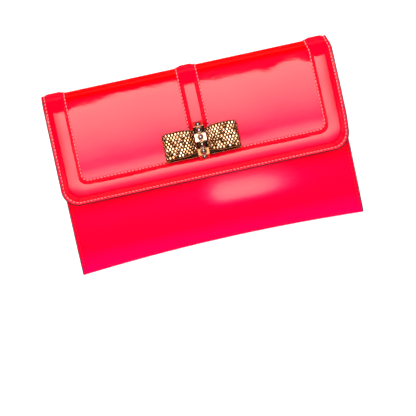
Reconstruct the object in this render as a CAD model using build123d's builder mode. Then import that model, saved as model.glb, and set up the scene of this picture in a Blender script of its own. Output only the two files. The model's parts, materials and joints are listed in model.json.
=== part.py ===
from build123d import *
import os
from math import sin, cos, tan, asin, atan, sqrt, radians, degrees, pi

os.makedirs("parts", exist_ok=True)

# ---------------------------------------------------------------------------
# Clutch purse lying on its back.  +X is the width, +Y runs from the bottom
# fold towards the top fold, +Z comes out of the front face.
# All dimensions are in millimetres.
# ---------------------------------------------------------------------------

# overall
flap_half = 140.0           # half the width of the flap
body_half_top = 138.0       # half the width of the pouch at its top edge
body_half_low = 137.0       # half the width of the pouch at its bottom corners
corner_y = -86.0            # the two bottom corners
mid_bottom_y = -81.0        # the bottom edge curves up by 5 mm in its middle
crease_y = 82.0             # both crease lines of the top fold
spine_out_y = 85.0          # outside of the top fold

# sheet thicknesses
leather = 1.2
board = 1.0
lining = 0.6
band_t = 1.0
gusset_t = 0.8
gap = 0.6                   # gap left along each crease between two bodies

# layers of the back
z_board = leather
z_lining = leather + 1.2
z_inside = z_lining + lining

# bottom fold
fold_out_r = 4.7
tangent_y = mid_bottom_y + fold_out_r       # where the fold turns into the flat walls

# the bottom edge is an arc round a point far below the purse
sag = mid_bottom_y - corner_y
arc_r = (body_half_low**2 + sag**2) / (2 * sag)
arc_cy = mid_bottom_y - arc_r

# the bands that run over the top fold stand as far up as the corners reach down
phi_out = asin(body_half_low / (arc_r + fold_out_r))
band_out_y = -(arc_cy + arc_r * cos(phi_out))

# front wall: its outer face climbs from the bottom fold to the mouth
front_low_z = 2 * fold_out_r
mouth_y = 66.0
mouth_z = 16.6
wall_angle = atan((mouth_z - front_low_z) / (mouth_y - tangent_y))
wall_len = (mouth_y - tangent_y) / cos(wall_angle)

# flap: its under side falls a little from the fold to its free edge
flap_under_z = 20.4
flap_edge_y = -22.0
flap_edge_under_z = 17.0
flap_angle = atan((flap_under_z - flap_edge_under_z) / (crease_y - flap_edge_y))
flap_len = (crease_y - flap_edge_y) / cos(flap_angle)
flap_corner_r = 15.5

# border band, measured inwards from the flap's edge
band_wide = 22.4            # whole strip
pad_in = 2.9                # raised part starts
pad_out = 19.0              # raised part ends
band_rise = 3.0             # height of the raised part
# centre band, measured from the middle
centre_half = 10.5
centre_pad_half = 7.8
centre_pad_end = -48.8      # local y where its padding stops, above the bow

# bow
bow_half = 36.2             # half the length of the bow
bow_wide = 26.0             # width of the mesh strap
bow_y = 14.0                # middle of the bow
knot_half = 5.55            # half the width of the knot
facet = 7.0                 # length of one facet
facet_turn = 20.0           # degrees from one facet to the next
facet_n = 6
knot_t = 1.4
stud_r = 2.85
stud_h = 1.2
loop_h = 7.0
loop_t = 1.2
post_x = 16.0
post_r = 1.0

# magnetic snap
snap_y = 10.0
socket_r = 9.0
socket_h = 2.8
socket_hole_r = 3.5
stud_disc_r = 7.0
stud_disc_t = 0.9
boss_r = 2.7
boss_h = 2.0

# ---------------------------------------------------------------------------
# planes
# ---------------------------------------------------------------------------
# outer face of the front wall, local y runs up the wall
front_plane = Plane(
    origin=(0, tangent_y, front_low_z),
    x_dir=(1, 0, 0),
    z_dir=(0, -sin(wall_angle), cos(wall_angle)),
)
# cross-section of the front wall, x runs up the wall and y out of it
front_section = Plane(
    origin=(0, tangent_y, front_low_z),
    x_dir=(0, cos(wall_angle), sin(wall_angle)),
    z_dir=(1, 0, 0),
)
# under side of the flap, local y is 0 at the crease and negative on the flap
flap_plane = Plane(
    origin=(0, crease_y, flap_under_z),
    x_dir=(1, 0, 0),
    z_dir=(0, -sin(flap_angle), cos(flap_angle)),
)
flap_section = Plane(
    origin=(0, crease_y, flap_under_z),
    x_dir=(0, cos(flap_angle), sin(flap_angle)),
    z_dir=(1, 0, 0),
)


def arc_y(x, above):
    """Y of the bottom arc at x, moved up by a distance along its radius."""
    r = arc_r + above
    return arc_cy + sqrt(r * r - x * x)


def half_at(y):
    """Half the width of the pouch at height y."""
    t = (y - corner_y) / (crease_y - corner_y)
    return body_half_low + (body_half_top - body_half_low) * t


# ===========================================================================
# POUCH
# ===========================================================================

# back panel: one flat sheet of patent leather, the face the purse lies on
back_top = crease_y - gap
with BuildPart() as back_panel:
    with BuildSketch(Plane.XY):
        with BuildLine():
            a = (-body_half_low, arc_y(body_half_low, fold_out_r))
            b = (body_half_low, arc_y(body_half_low, fold_out_r))
            ThreePointArc(a, (0, arc_y(0, fold_out_r)), b)
            Polyline(b, (body_half_top, back_top), (-body_half_top, back_top), a)
        make_face()
    extrude(amount=leather)
back_panel.part.label = "back_panel"
export_step(back_panel.part, "parts/back_panel.step")

# stiffening board behind the back panel
inner_half = 127.0
with BuildPart() as back_board:
    with BuildSketch(Plane.XY.offset(z_board)):
        with BuildLine():
            a = (-inner_half, arc_y(inner_half, fold_out_r + 3))
            b = (inner_half, arc_y(inner_half, fold_out_r + 3))
            ThreePointArc(a, (0, arc_y(0, fold_out_r + 3)), b)
            Polyline(b, (inner_half, 76.0), (-inner_half, 76.0), a)
        make_face()
    extrude(amount=1.2)
    fillet(back_board.edges().filter_by(Axis.Z).group_by(Axis.Y)[-1], radius=6)
back_board.part.label = "back_board"
export_step(back_board.part, "parts/back_board.step")

# lining of the back, which turns up round the bottom inside the fold
phi_in = degrees(asin(inner_half / (arc_r + fold_out_r)))
with BuildPart() as back_lining:
    with BuildSketch(Plane.XY.offset(z_lining)):
        with BuildLine():
            a = (-inner_half, arc_y(inner_half, fold_out_r + 1))
            b = (inner_half, arc_y(inner_half, fold_out_r + 1))
            ThreePointArc(a, (0, arc_y(0, fold_out_r + 1)), b)
            Polyline(b, (inner_half, 79.0), (-inner_half, 79.0), a)
        make_face()
    extrude(amount=lining)
    start = radians(phi_in)
    turn_plane = Plane(
        origin=(0, arc_cy, 0),
        x_dir=(sin(start), cos(start), 0),
        z_dir=(cos(start), -sin(start), 0),
    )
    with BuildSketch(turn_plane):
        with BuildLine():
            c = arc_r + fold_out_r
            r1 = fold_out_r - z_lining
            r0 = r1 - lining
            ThreePointArc((c, fold_out_r - r1), (c - r1, fold_out_r), (c, fold_out_r + r1))
            Line((c, fold_out_r + r1), (c, fold_out_r + r0))
            ThreePointArc((c, fold_out_r + r0), (c - r0, fold_out_r), (c, fold_out_r - r0))
            Line((c, fold_out_r - r0), (c + 1.5, fold_out_r - r0))
            Line((c + 1.5, fold_out_r - r0), (c + 1.5, fold_out_r - r1))
            Line((c + 1.5, fold_out_r - r1), (c, fold_out_r - r1))
        make_face()
    revolve(axis=Axis((0, arc_cy, 0), (0, 0, 1)), revolution_arc=2 * phi_in)
back_lining.part.label = "back_lining"
export_step(back_lining.part, "parts/back_lining.step")

# slip pocket sewn to the back lining
with BuildPart() as slip_pocket:
    with BuildSketch(Plane.XY.offset(z_inside)):
        with Locations((0, -8)):
            RectangleRounded(160, 84, 6)
    extrude(amount=lining)
slip_pocket.part.label = "slip_pocket"
export_step(slip_pocket.part, "parts/slip_pocket.step")

# bottom fold: the leather turning from the back round to the front
with BuildPart() as bottom_fold:
    start = phi_out
    turn_plane = Plane(
        origin=(0, arc_cy, 0),
        x_dir=(sin(start), cos(start), 0),
        z_dir=(cos(start), -sin(start), 0),
    )
    with BuildSketch(turn_plane):
        with BuildLine():
            c = arc_r + fold_out_r
            r1 = fold_out_r
            r0 = fold_out_r - leather
            ThreePointArc((c, 0), (c - r1, fold_out_r), (c, 2 * fold_out_r))
            Line((c, 2 * fold_out_r), (c, fold_out_r + r0))
            ThreePointArc((c, fold_out_r + r0), (c - r0, fold_out_r), (c, leather))
            Line((c, leather), (c, 0))
        make_face()
    revolve(axis=Axis((0, arc_cy, 0), (0, 0, 1)), revolution_arc=2 * degrees(phi_out))
bottom_fold.part.label = "bottom_fold"
export_step(bottom_fold.part, "parts/bottom_fold.step")


# side gussets: a sheet folded inwards in a V between the back and the front
def gusset_points(y, depth):
    """Corners of the gusset's section at height y, for the +X side."""
    top = front_low_z + (y - tangent_y) * tan(wall_angle) - leather / cos(wall_angle) - 0.4
    x_out = 136.5
    x_turn = 133.0
    x_fold = x_turn - depth
    z_fold = (leather + top) / 2
    return [
        (x_out, leather),
        (x_out, leather + gusset_t),
        (x_turn + 0.4, leather + gusset_t),
        (x_fold + 0.9, z_fold),
        (x_turn + 0.4, top - gusset_t),
        (x_out, top - gusset_t),
        (x_out, top),
        (x_turn - 0.4, top),
        (x_fold, z_fold),
        (x_turn - 0.4, leather),
    ]


gusset_low_y = -80.0
gusset_top_y = 64.0
gusset_low_depth = 5.0
gusset_top_depth = 14.0

with BuildPart() as right_gusset:
    with BuildSketch(Plane.XZ.offset(-gusset_low_y)):
        with BuildLine():
            Polyline(*gusset_points(gusset_low_y, gusset_low_depth), close=True)
        make_face()
    with BuildSketch(Plane.XZ.offset(-gusset_top_y)):
        with BuildLine():
            Polyline(*gusset_points(gusset_top_y, gusset_top_depth), close=True)
        make_face()
    loft(ruled=True)
right_gusset.part.label = "right_gusset"
export_step(right_gusset.part, "parts/right_gusset.step")

with BuildPart() as left_gusset:
    with BuildSketch(Plane.XZ.offset(-gusset_low_y)):
        with BuildLine():
            Polyline(*[(-x, z) for x, z in gusset_points(gusset_low_y, gusset_low_depth)], close=True)
        make_face()
    with BuildSketch(Plane.XZ.offset(-gusset_top_y)):
        with BuildLine():
            Polyline(*[(-x, z) for x, z in gusset_points(gusset_top_y, gusset_top_depth)], close=True)
        make_face()
    loft(ruled=True)
left_gusset.part.label = "left_gusset"
export_step(left_gusset.part, "parts/left_gusset.step")

# ===========================================================================
# FRONT WALL
# ===========================================================================
stack_top = wall_len - 0.8      # the sheets end just under the mouth binding
snap_u = (snap_y - tangent_y) / cos(wall_angle)
washer_r = 5.0
prong_x = 2.6
prong_w = 1.8
prong_t = 0.6

# outer leather of the front wall
low = arc_y(body_half_low, 0) - mid_bottom_y    # how far the corners drop
with BuildPart() as front_panel:
    with BuildSketch(front_plane.offset(-leather)):
        with BuildLine():
            ThreePointArc((-body_half_low, low + gap), (0, gap), (body_half_low, low + gap))
            Polyline(
                (body_half_low, low + gap),
                (half_at(mouth_y), stack_top),
                (-half_at(mouth_y), stack_top),
                (-body_half_low, low + gap),
            )
        make_face()
        with Locations((prong_x, snap_u), (-prong_x, snap_u)):
            Rectangle(prong_t + 0.1, prong_w + 0.1, mode=Mode.SUBTRACT)
    extrude(amount=leather)
front_panel.part.label = "front_panel"
export_step(front_panel.part, "parts/front_panel.step")

# board behind it, with a seat for the snap's washer
with BuildPart() as front_board:
    with BuildSketch(front_plane.offset(-leather - board)):
        with BuildLine():
            ThreePointArc((-inner_half, low + 4), (0, 4), (inner_half, low + 4))
            Polyline(
                (inner_half, low + 4),
                (inner_half, stack_top),
                (-inner_half, stack_top),
                (-inner_half, low + 4),
            )
        make_face()
        with Locations((0, snap_u)):
            Circle(washer_r + 0.3, mode=Mode.SUBTRACT)
    extrude(amount=board)
front_board.part.label = "front_board"
export_step(front_board.part, "parts/front_board.step")

# lining of the front wall
with BuildPart() as front_lining:
    with BuildSketch(front_plane.offset(-leather - board - lining)):
        with BuildLine():
            ThreePointArc((-inner_half, low + 4), (0, 4), (inner_half, low + 4))
            Polyline(
                (inner_half, low + 4),
                (inner_half, stack_top),
                (-inner_half, stack_top),
                (-inner_half, low + 4),
            )
        make_face()
    extrude(amount=lining)
front_lining.part.label = "front_lining"
export_step(front_lining.part, "parts/front_lining.step")

# binding folded over the mouth edge of the front wall
stack = leather + board + lining
with BuildPart() as mouth_binding:
    with BuildSketch(front_section):
        with BuildLine():
            Polyline(
                (stack_top - 8, 0),
                (stack_top - 8, 0.7),
                (stack_top + 0.8, 0.7),
                (stack_top + 0.8, -stack - 0.7),
                (stack_top - 8, -stack - 0.7),
                (stack_top - 8, -stack),
                (stack_top, -stack),
                (stack_top, 0),
                close=True,
            )
        make_face()
    extrude(amount=inner_half - 9.0, both=True)
mouth_binding.part.label = "mouth_binding"
export_step(mouth_binding.part, "parts/mouth_binding.step")

# snap socket: base disc with two prongs through the leather
with BuildPart() as snap_socket_base:
    with BuildSketch(front_plane):
        with Locations((0, snap_u)):
            Circle(8.0)
    extrude(amount=0.5)
    with BuildSketch(front_plane.offset(-leather - board)):
        with Locations((prong_x, snap_u), (-prong_x, snap_u)):
            Rectangle(prong_t, prong_w)
    extrude(amount=leather + board)
snap_socket_base.part.label = "snap_socket_base"
export_step(snap_socket_base.part, "parts/snap_socket_base.step")

# ring magnet held under the socket's cover
with BuildPart() as snap_socket_magnet:
    with BuildSketch(front_plane.offset(0.5)):
        with Locations((0, snap_u)):
            Circle(8.0)
            Circle(socket_hole_r + 0.2, mode=Mode.SUBTRACT)
    extrude(amount=2.0)
snap_socket_magnet.part.label = "snap_socket_magnet"
export_step(snap_socket_magnet.part, "parts/snap_socket_magnet.step")

# drawn cover over the magnet
with BuildPart() as snap_socket_cover:
    with BuildSketch(front_plane):
        with Locations((0, snap_u)):
            Circle(socket_r)
    extrude(amount=socket_h)
    fillet(snap_socket_cover.faces().sort_by(Axis.Z)[-1].edges(), radius=0.6)
    with BuildSketch(front_plane):
        with Locations((0, snap_u)):
            Circle(8.0)
    extrude(amount=2.5, mode=Mode.SUBTRACT)
    with BuildSketch(front_plane):
        with Locations((0, snap_u)):
            Circle(socket_hole_r)
    extrude(amount=socket_h + 1, mode=Mode.SUBTRACT)
snap_socket_cover.part.label = "snap_socket_cover"
export_step(snap_socket_cover.part, "parts/snap_socket_cover.step")

# washer that the socket's prongs are bent over
with BuildPart() as snap_socket_washer:
    with BuildSketch(front_plane.offset(-leather - board)):
        with Locations((0, snap_u)):
            Circle(washer_r)
        with Locations((prong_x, snap_u), (-prong_x, snap_u)):
            Rectangle(prong_t + 0.1, prong_w + 0.1, mode=Mode.SUBTRACT)
    extrude(amount=board)
snap_socket_washer.part.label = "snap_socket_washer"
export_step(snap_socket_washer.part, "parts/snap_socket_washer.step")

# ===========================================================================
# TOP FOLD
# ===========================================================================
low_crease_z = leather / 2
high_crease_z = flap_under_z + lining + board + leather / 2
chord = high_crease_z - low_crease_z
bulge = spine_out_y - leather / 2 - crease_y
spine_r = ((chord / 2) ** 2 + bulge**2) / (2 * bulge)
spine_cy = crease_y + bulge - spine_r
spine_cz = (low_crease_z + high_crease_z) / 2
spine_angle = asin(chord / 2 / spine_r)


def fold_point(r, angle):
    """A point of the top fold's section at a radius and an angle from level."""
    return (spine_cy + r * cos(angle), spine_cz + r * sin(angle))


skin_angle = spine_angle - gap / spine_r

# leather of the top fold
with BuildPart() as top_fold:
    with BuildSketch(Plane.YZ):
        with BuildLine():
            ro = spine_r + leather / 2
            ri = spine_r - leather / 2
            ThreePointArc(fold_point(ro, -skin_angle), fold_point(ro, 0), fold_point(ro, skin_angle))
            Line(fold_point(ro, skin_angle), fold_point(ri, skin_angle))
            ThreePointArc(fold_point(ri, skin_angle), fold_point(ri, 0), fold_point(ri, -skin_angle))
            Line(fold_point(ri, -skin_angle), fold_point(ro, -skin_angle))
        make_face()
    extrude(amount=body_half_top, both=True)
top_fold.part.label = "top_fold"
export_step(top_fold.part, "parts/top_fold.step")

# lining inside the top fold
with BuildPart() as top_fold_lining:
    with BuildSketch(Plane.YZ):
        with BuildLine():
            ro = spine_r - leather / 2
            ri = ro - lining
            s = skin_angle - radians(3)
            ThreePointArc(fold_point(ro, -s), fold_point(ro, 0), fold_point(ro, s))
            Line(fold_point(ro, s), fold_point(ri, s))
            ThreePointArc(fold_point(ri, s), fold_point(ri, 0), fold_point(ri, -s))
            Line(fold_point(ri, -s), fold_point(ro, -s))
        make_face()
    extrude(amount=body_half_top - 1.5, both=True)
top_fold_lining.part.label = "top_fold_lining"
export_step(top_fold_lining.part, "parts/top_fold_lining.step")

# the border band and the centre band run on over the top fold
wrap_ro = spine_r + leather / 2 + (band_out_y - spine_out_y)
wrap_ri = spine_r + leather / 2
side_wrap_in = flap_half - pad_out
side_wrap_out = flap_half - pad_in

with BuildPart() as left_band_wrap:
    with BuildSketch(Plane.YZ.offset(-side_wrap_out)):
        with BuildLine():
            s = skin_angle
            ThreePointArc(fold_point(wrap_ro, -s), fold_point(wrap_ro, 0), fold_point(wrap_ro, s))
            Line(fold_point(wrap_ro, s), fold_point(wrap_ri, s))
            ThreePointArc(fold_point(wrap_ri, s), fold_point(wrap_ri, 0), fold_point(wrap_ri, -s))
            Line(fold_point(wrap_ri, -s), fold_point(wrap_ro, -s))
        make_face()
    extrude(amount=side_wrap_out - side_wrap_in)
left_band_wrap.part.label = "left_band_wrap"
export_step(left_band_wrap.part, "parts/left_band_wrap.step")

with BuildPart() as right_band_wrap:
    with BuildSketch(Plane.YZ.offset(side_wrap_in)):
        with BuildLine():
            s = skin_angle
            ThreePointArc(fold_point(wrap_ro, -s), fold_point(wrap_ro, 0), fold_point(wrap_ro, s))
            Line(fold_point(wrap_ro, s), fold_point(wrap_ri, s))
            ThreePointArc(fold_point(wrap_ri, s), fold_point(wrap_ri, 0), fold_point(wrap_ri, -s))
            Line(fold_point(wrap_ri, -s), fold_point(wrap_ro, -s))
        make_face()
    extrude(amount=side_wrap_out - side_wrap_in)
right_band_wrap.part.label = "right_band_wrap"
export_step(right_band_wrap.part, "parts/right_band_wrap.step")

with BuildPart() as centre_band_wrap:
    with BuildSketch(Plane.YZ):
        with BuildLine():
            s = skin_angle
            ThreePointArc(fold_point(wrap_ro, -s), fold_point(wrap_ro, 0), fold_point(wrap_ro, s))
            Line(fold_point(wrap_ro, s), fold_point(wrap_ri, s))
            ThreePointArc(fold_point(wrap_ri, s), fold_point(wrap_ri, 0), fold_point(wrap_ri, -s))
            Line(fold_point(wrap_ri, -s), fold_point(wrap_ro, -s))
        make_face()
    extrude(amount=centre_pad_half, both=True)
centre_band_wrap.part.label = "centre_band_wrap"
export_step(centre_band_wrap.part, "parts/centre_band_wrap.step")

# ===========================================================================
# FLAP
# ===========================================================================
snap_v = (snap_y - crease_y) / cos(flap_angle)
bow_v = (bow_y - crease_y) / cos(flap_angle)
z_flap_board = lining
z_flap_skin = lining + board
z_skin_top = z_flap_skin + leather      # upper face of the flap's leather


# flap lining
with BuildPart() as flap_lining:
    with BuildSketch(flap_plane):
        with BuildLine():
            w = flap_half - 1.5
            r = flap_corner_r - 1.5
            e = -flap_len + 1.5
            FilletPolyline((-w, -3.0), (-w, e), (w, e), (w, -3.0), radius=r)
            Line((w, -3.0), (-w, -3.0))
        make_face()
        with Locations((prong_x, snap_v), (-prong_x, snap_v)):
            Rectangle(prong_t + 0.1, prong_w + 0.1, mode=Mode.SUBTRACT)
    extrude(amount=lining)
flap_lining.part.label = "flap_lining"
export_step(flap_lining.part, "parts/flap_lining.step")

# flap board, with seats for the three washers
with BuildPart() as flap_board:
    with BuildSketch(flap_plane.offset(z_flap_board)):
        with BuildLine():
            w = flap_half - 2.5
            r = flap_corner_r - 2.5
            e = -flap_len + 2.5
            FilletPolyline((-w, -4.0), (-w, e), (w, e), (w, -4.0), radius=r)
            Line((w, -4.0), (-w, -4.0))
        make_face()
        with Locations((0, snap_v)):
            Circle(washer_r + 0.3, mode=Mode.SUBTRACT)
        with Locations((post_x, bow_v), (-post_x, bow_v)):
            Circle(2.9, mode=Mode.SUBTRACT)
    extrude(amount=board)
flap_board.part.label = "flap_board"
export_step(flap_board.part, "parts/flap_board.step")

# flap leather
with BuildPart() as flap_panel:
    with BuildSketch(flap_plane.offset(z_flap_skin)):
        with BuildLine():
            w = flap_half
            FilletPolyline(
                (-w, -gap), (-w, -flap_len), (w, -flap_len), (w, -gap), radius=flap_corner_r
            )
            Line((w, -gap), (-w, -gap))
        make_face()
        with Locations((post_x, bow_v), (-post_x, bow_v)):
            Circle(post_r + 0.1, mode=Mode.SUBTRACT)
    extrude(amount=leather)
flap_panel.part.label = "flap_panel"
export_step(flap_panel.part, "parts/flap_panel.step")


# border band: flat margins for the stitches and a raised, padded middle
with BuildPart() as flap_border_band:
    with BuildSketch(flap_plane.offset(z_skin_top)):
        with BuildLine():
            w = flap_half - 0.3
            e = -flap_len + 0.3
            wi = flap_half - band_wide
            ei = -flap_len + band_wide
            outer = FilletPolyline((-w, -gap), (-w, e), (w, e), (w, -gap), radius=flap_corner_r - 0.3)
            Line((w, -gap), (wi, -gap))
            inner = FilletPolyline((wi, -gap), (wi, ei), (-wi, ei), (-wi, -gap), radius=6.0)
            Line((-wi, -gap), (-w, -gap))
        make_face()
    extrude(amount=band_t)
    with BuildSketch(flap_plane.offset(z_skin_top)):
        with BuildLine():
            w = flap_half - pad_in
            e = -flap_len + pad_in
            wi = flap_half - pad_out
            ei = -flap_len + pad_out
            FilletPolyline((-w, -gap), (-w, e), (w, e), (w, -gap), radius=flap_corner_r - pad_in)
            Line((w, -gap), (wi, -gap))
            FilletPolyline((wi, -gap), (wi, ei), (-wi, ei), (-wi, -gap), radius=8.0)
            Line((-wi, -gap), (-w, -gap))
        make_face()
    extrude(amount=band_rise, taper=30)
    with BuildSketch(flap_plane.offset(z_skin_top)):
        with BuildLine():
            w = flap_half - pad_in - 1.6
            e = -flap_len + pad_in + 1.6
            wi = flap_half - pad_out + 1.6
            ei = -flap_len + pad_out - 1.6
            FilletPolyline((-w, -4), (-w, e), (w, e), (w, -4), radius=flap_corner_r - pad_in - 1.6)
            Line((w, -4), (wi, -4))
            FilletPolyline((wi, -4), (wi, ei), (-wi, ei), (-wi, -4), radius=9.0)
            Line((-wi, -4), (-w, -4))
        make_face()
    extrude(amount=band_rise - band_t, mode=Mode.SUBTRACT, taper=20)
flap_border_band.part.label = "flap_border_band"
export_step(flap_border_band.part, "parts/flap_border_band.step")

# foam strip inside the border band
with BuildPart() as border_padding:
    with BuildSketch(flap_plane.offset(z_skin_top)):
        with BuildLine():
            w = flap_half - pad_in - 1.6
            e = -flap_len + pad_in + 1.6
            wi = flap_half - pad_out + 1.6
            ei = -flap_len + pad_out - 1.6
            FilletPolyline((-w, -4), (-w, e), (w, e), (w, -4), radius=flap_corner_r - pad_in - 1.6)
            Line((w, -4), (wi, -4))
            FilletPolyline((wi, -4), (wi, ei), (-wi, ei), (-wi, -4), radius=9.0)
            Line((-wi, -4), (-w, -4))
        make_face()
    extrude(amount=band_rise - band_t, taper=20)
border_padding.part.label = "border_padding"
export_step(border_padding.part, "parts/border_padding.step")

# centre band: from the top fold down to the border band
centre_low = -flap_len + band_wide + 0.3
with BuildPart() as flap_centre_band:
    with BuildSketch(flap_plane.offset(z_skin_top)):
        with BuildLine():
            Polyline(
                (-centre_half, -gap),
                (-centre_half, centre_low),
                (centre_half, centre_low),
                (centre_half, -gap),
                close=True,
            )
        make_face()
    extrude(amount=band_t)
    with BuildSketch(flap_plane.offset(z_skin_top)):
        with BuildLine():
            Polyline(
                (-centre_pad_half, -gap),
                (-centre_pad_half, centre_pad_end),
                (centre_pad_half, centre_pad_end),
                (centre_pad_half, -gap),
                close=True,
            )
        make_face()
    extrude(amount=band_rise - 0.6, taper=25)
    with BuildSketch(flap_plane.offset(z_skin_top)):
        with BuildLine():
            Polyline(
                (-centre_pad_half + 1.5, -4),
                (-centre_pad_half + 1.5, centre_pad_end + 2),
                (centre_pad_half - 1.5, centre_pad_end + 2),
                (centre_pad_half - 1.5, -4),
                close=True,
            )
        make_face()
    extrude(amount=band_rise - 0.6 - band_t, mode=Mode.SUBTRACT, taper=15)
flap_centre_band.part.label = "flap_centre_band"
export_step(flap_centre_band.part, "parts/flap_centre_band.step")

with BuildPart() as centre_padding:
    with BuildSketch(flap_plane.offset(z_skin_top)):
        with BuildLine():
            Polyline(
                (-centre_pad_half + 1.5, -4),
                (-centre_pad_half + 1.5, centre_pad_end + 2),
                (centre_pad_half - 1.5, centre_pad_end + 2),
                (centre_pad_half - 1.5, -4),
                close=True,
            )
        make_face()
    extrude(amount=band_rise - 0.6 - band_t, taper=15)
centre_padding.part.label = "centre_padding"
export_step(centre_padding.part, "parts/centre_padding.step")

# snap stud: disc and boss under the flap, two prongs up through the lining
with BuildPart() as snap_stud:
    with BuildSketch(flap_plane.offset(-stud_disc_t)):
        with Locations((0, snap_v)):
            Circle(stud_disc_r)
    extrude(amount=stud_disc_t)
    fillet(snap_stud.faces().sort_by(Axis.Z)[0].edges(), radius=0.4)
    with BuildSketch(flap_plane.offset(-stud_disc_t - boss_h)):
        with Locations((0, snap_v)):
            Circle(boss_r)
    extrude(amount=boss_h)
    fillet(snap_stud.faces().sort_by(Axis.Z)[0].edges(), radius=0.6)
    with BuildSketch(flap_plane):
        with Locations((prong_x, snap_v), (-prong_x, snap_v)):
            Rectangle(prong_t, prong_w)
    extrude(amount=lining + board)
snap_stud.part.label = "snap_stud"
export_step(snap_stud.part, "parts/snap_stud.step")

with BuildPart() as snap_stud_washer:
    with BuildSketch(flap_plane.offset(z_flap_board)):
        with Locations((0, snap_v)):
            Circle(washer_r)
        with Locations((prong_x, snap_v), (-prong_x, snap_v)):
            Rectangle(prong_t + 0.1, prong_w + 0.1, mode=Mode.SUBTRACT)
    extrude(amount=board)
snap_stud_washer.part.label = "snap_stud_washer"
export_step(snap_stud_washer.part, "parts/snap_stud_washer.step")

# ---------------------------------------------------------------------------
# bow
# ---------------------------------------------------------------------------
z_bow = z_skin_top + band_t + 0.05     # the bow's plate lies on the centre band
plate_t = 0.8

# plate under the bow, with two posts through the flap
with BuildPart() as bow_base_plate:
    with BuildSketch(flap_plane.offset(z_bow)):
        with Locations((0, bow_v)):
            RectangleRounded(52, 18, 4)
    extrude(amount=plate_t)
    with BuildSketch(flap_plane.offset(z_flap_board)):
        with Locations((post_x, bow_v), (-post_x, bow_v)):
            Circle(post_r)
    extrude(amount=z_bow - z_flap_board)
bow_base_plate.part.label = "bow_base_plate"
export_step(bow_base_plate.part, "parts/bow_base_plate.step")

# washers that the posts are riveted over
with BuildPart() as bow_post_washers:
    with BuildSketch(flap_plane.offset(z_flap_board)):
        with Locations((post_x, bow_v), (-post_x, bow_v)):
            Circle(2.6)
            Circle(post_r + 0.05, mode=Mode.SUBTRACT)
    extrude(amount=board)
bow_post_washers.part.label = "bow_post_washers"
export_step(bow_post_washers.part, "parts/bow_post_washers.step")

# loops of metal mesh: each is a strap turned back on itself
z_loop = z_bow + plate_t
loop_section = Plane(
    origin=flap_plane.from_local_coords(Vector(0, bow_v + bow_wide / 2, z_loop)),
    x_dir=(1, 0, 0),
    z_dir=flap_plane.y_dir * -1,
)


def loop_outline(side):
    """Outside of one loop in its section, from the knot to the outer end."""
    return [
        (side * 1.0, 0.0),
        (side * (bow_half - loop_h / 2), 0.0),
        (side * bow_half, loop_h / 2),
        (side * (bow_half - loop_h / 2), loop_h),
        (side * 13.0, loop_h),
        (side * 6.4, 2 * loop_t),
        (side * 1.0, 2 * loop_t),
    ]


def loop_inside(side):
    """Hollow of one loop: the two layers of strap meet beside the knot."""
    return [
        (side * 7.1, loop_t),
        (side * (bow_half - loop_h / 2), loop_t),
        (side * (bow_half - loop_t), loop_h / 2),
        (side * (bow_half - loop_h / 2), loop_h - loop_t),
        (side * 13.4, loop_h - loop_t),
    ]


with BuildPart() as bow_right_loop:
    with BuildSketch(loop_section):
        with BuildLine():
            p = loop_outline(1)
            Line(p[0], p[1])
            ThreePointArc(p[1], p[2], p[3])
            Polyline(p[3], p[4], p[5], p[6], p[0])
        make_face()
    extrude(amount=bow_wide)
    with BuildSketch(loop_section):
        with BuildLine():
            p = loop_inside(1)
            Line(p[0], p[1])
            ThreePointArc(p[1], p[2], p[3])
            Polyline(p[3], p[4], p[0])
        make_face()
    extrude(amount=bow_wide, mode=Mode.SUBTRACT)
bow_right_loop.part.label = "bow_right_loop"
export_step(bow_right_loop.part, "parts/bow_right_loop.step")

with BuildPart() as bow_left_loop:
    with BuildSketch(loop_section):
        with BuildLine():
            p = loop_outline(-1)
            Line(p[0], p[1])
            ThreePointArc(p[1], p[2], p[3])
            Polyline(p[3], p[4], p[5], p[6], p[0])
        make_face()
    extrude(amount=bow_wide)
    with BuildSketch(loop_section):
        with BuildLine():
            p = loop_inside(-1)
            Line(p[0], p[1])
            ThreePointArc(p[1], p[2], p[3])
            Polyline(p[3], p[4], p[0])
        make_face()
    extrude(amount=bow_wide, mode=Mode.SUBTRACT)
bow_left_loop.part.label = "bow_left_loop"
export_step(bow_left_loop.part, "parts/bow_left_loop.step")

# knot: an arched chain of six flat facets over the middle of the bow
knot_foot = z_skin_top + band_t + 0.95      # outer corner of each end of the arch
slopes = [radians(facet_turn * (facet_n / 2 - 0.5 - i)) for i in range(facet_n)]
knot_len = sum(facet * cos(a) for a in slopes)
knot_start = (14.5 - crease_y) / cos(flap_angle) - knot_len / 2
chain = [(knot_start, knot_foot)]
for a in slopes:
    chain.append((chain[-1][0] + facet * cos(a), chain[-1][1] + facet * sin(a)))
half_turn = radians(facet_turn / 2)
under = []
for i, (v, w) in enumerate(chain):
    # the inner corner lies on the line that halves the angle between two facets
    if i == 0:
        lean, reach = slopes[0], knot_t
    elif i == facet_n:
        lean, reach = slopes[-1], knot_t
    else:
        lean, reach = (slopes[i - 1] + slopes[i]) / 2, knot_t / cos(half_turn)
    under.append((v + reach * sin(lean), w - reach * cos(lean)))

with BuildPart() as bow_knot_band:
    with BuildSketch(flap_section):
        with BuildLine():
            Polyline(*chain, *reversed(under), close=True)
        make_face()
    extrude(amount=knot_half, both=True)
bow_knot_band.part.label = "bow_knot_band"
export_step(bow_knot_band.part, "parts/bow_knot_band.step")

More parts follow.
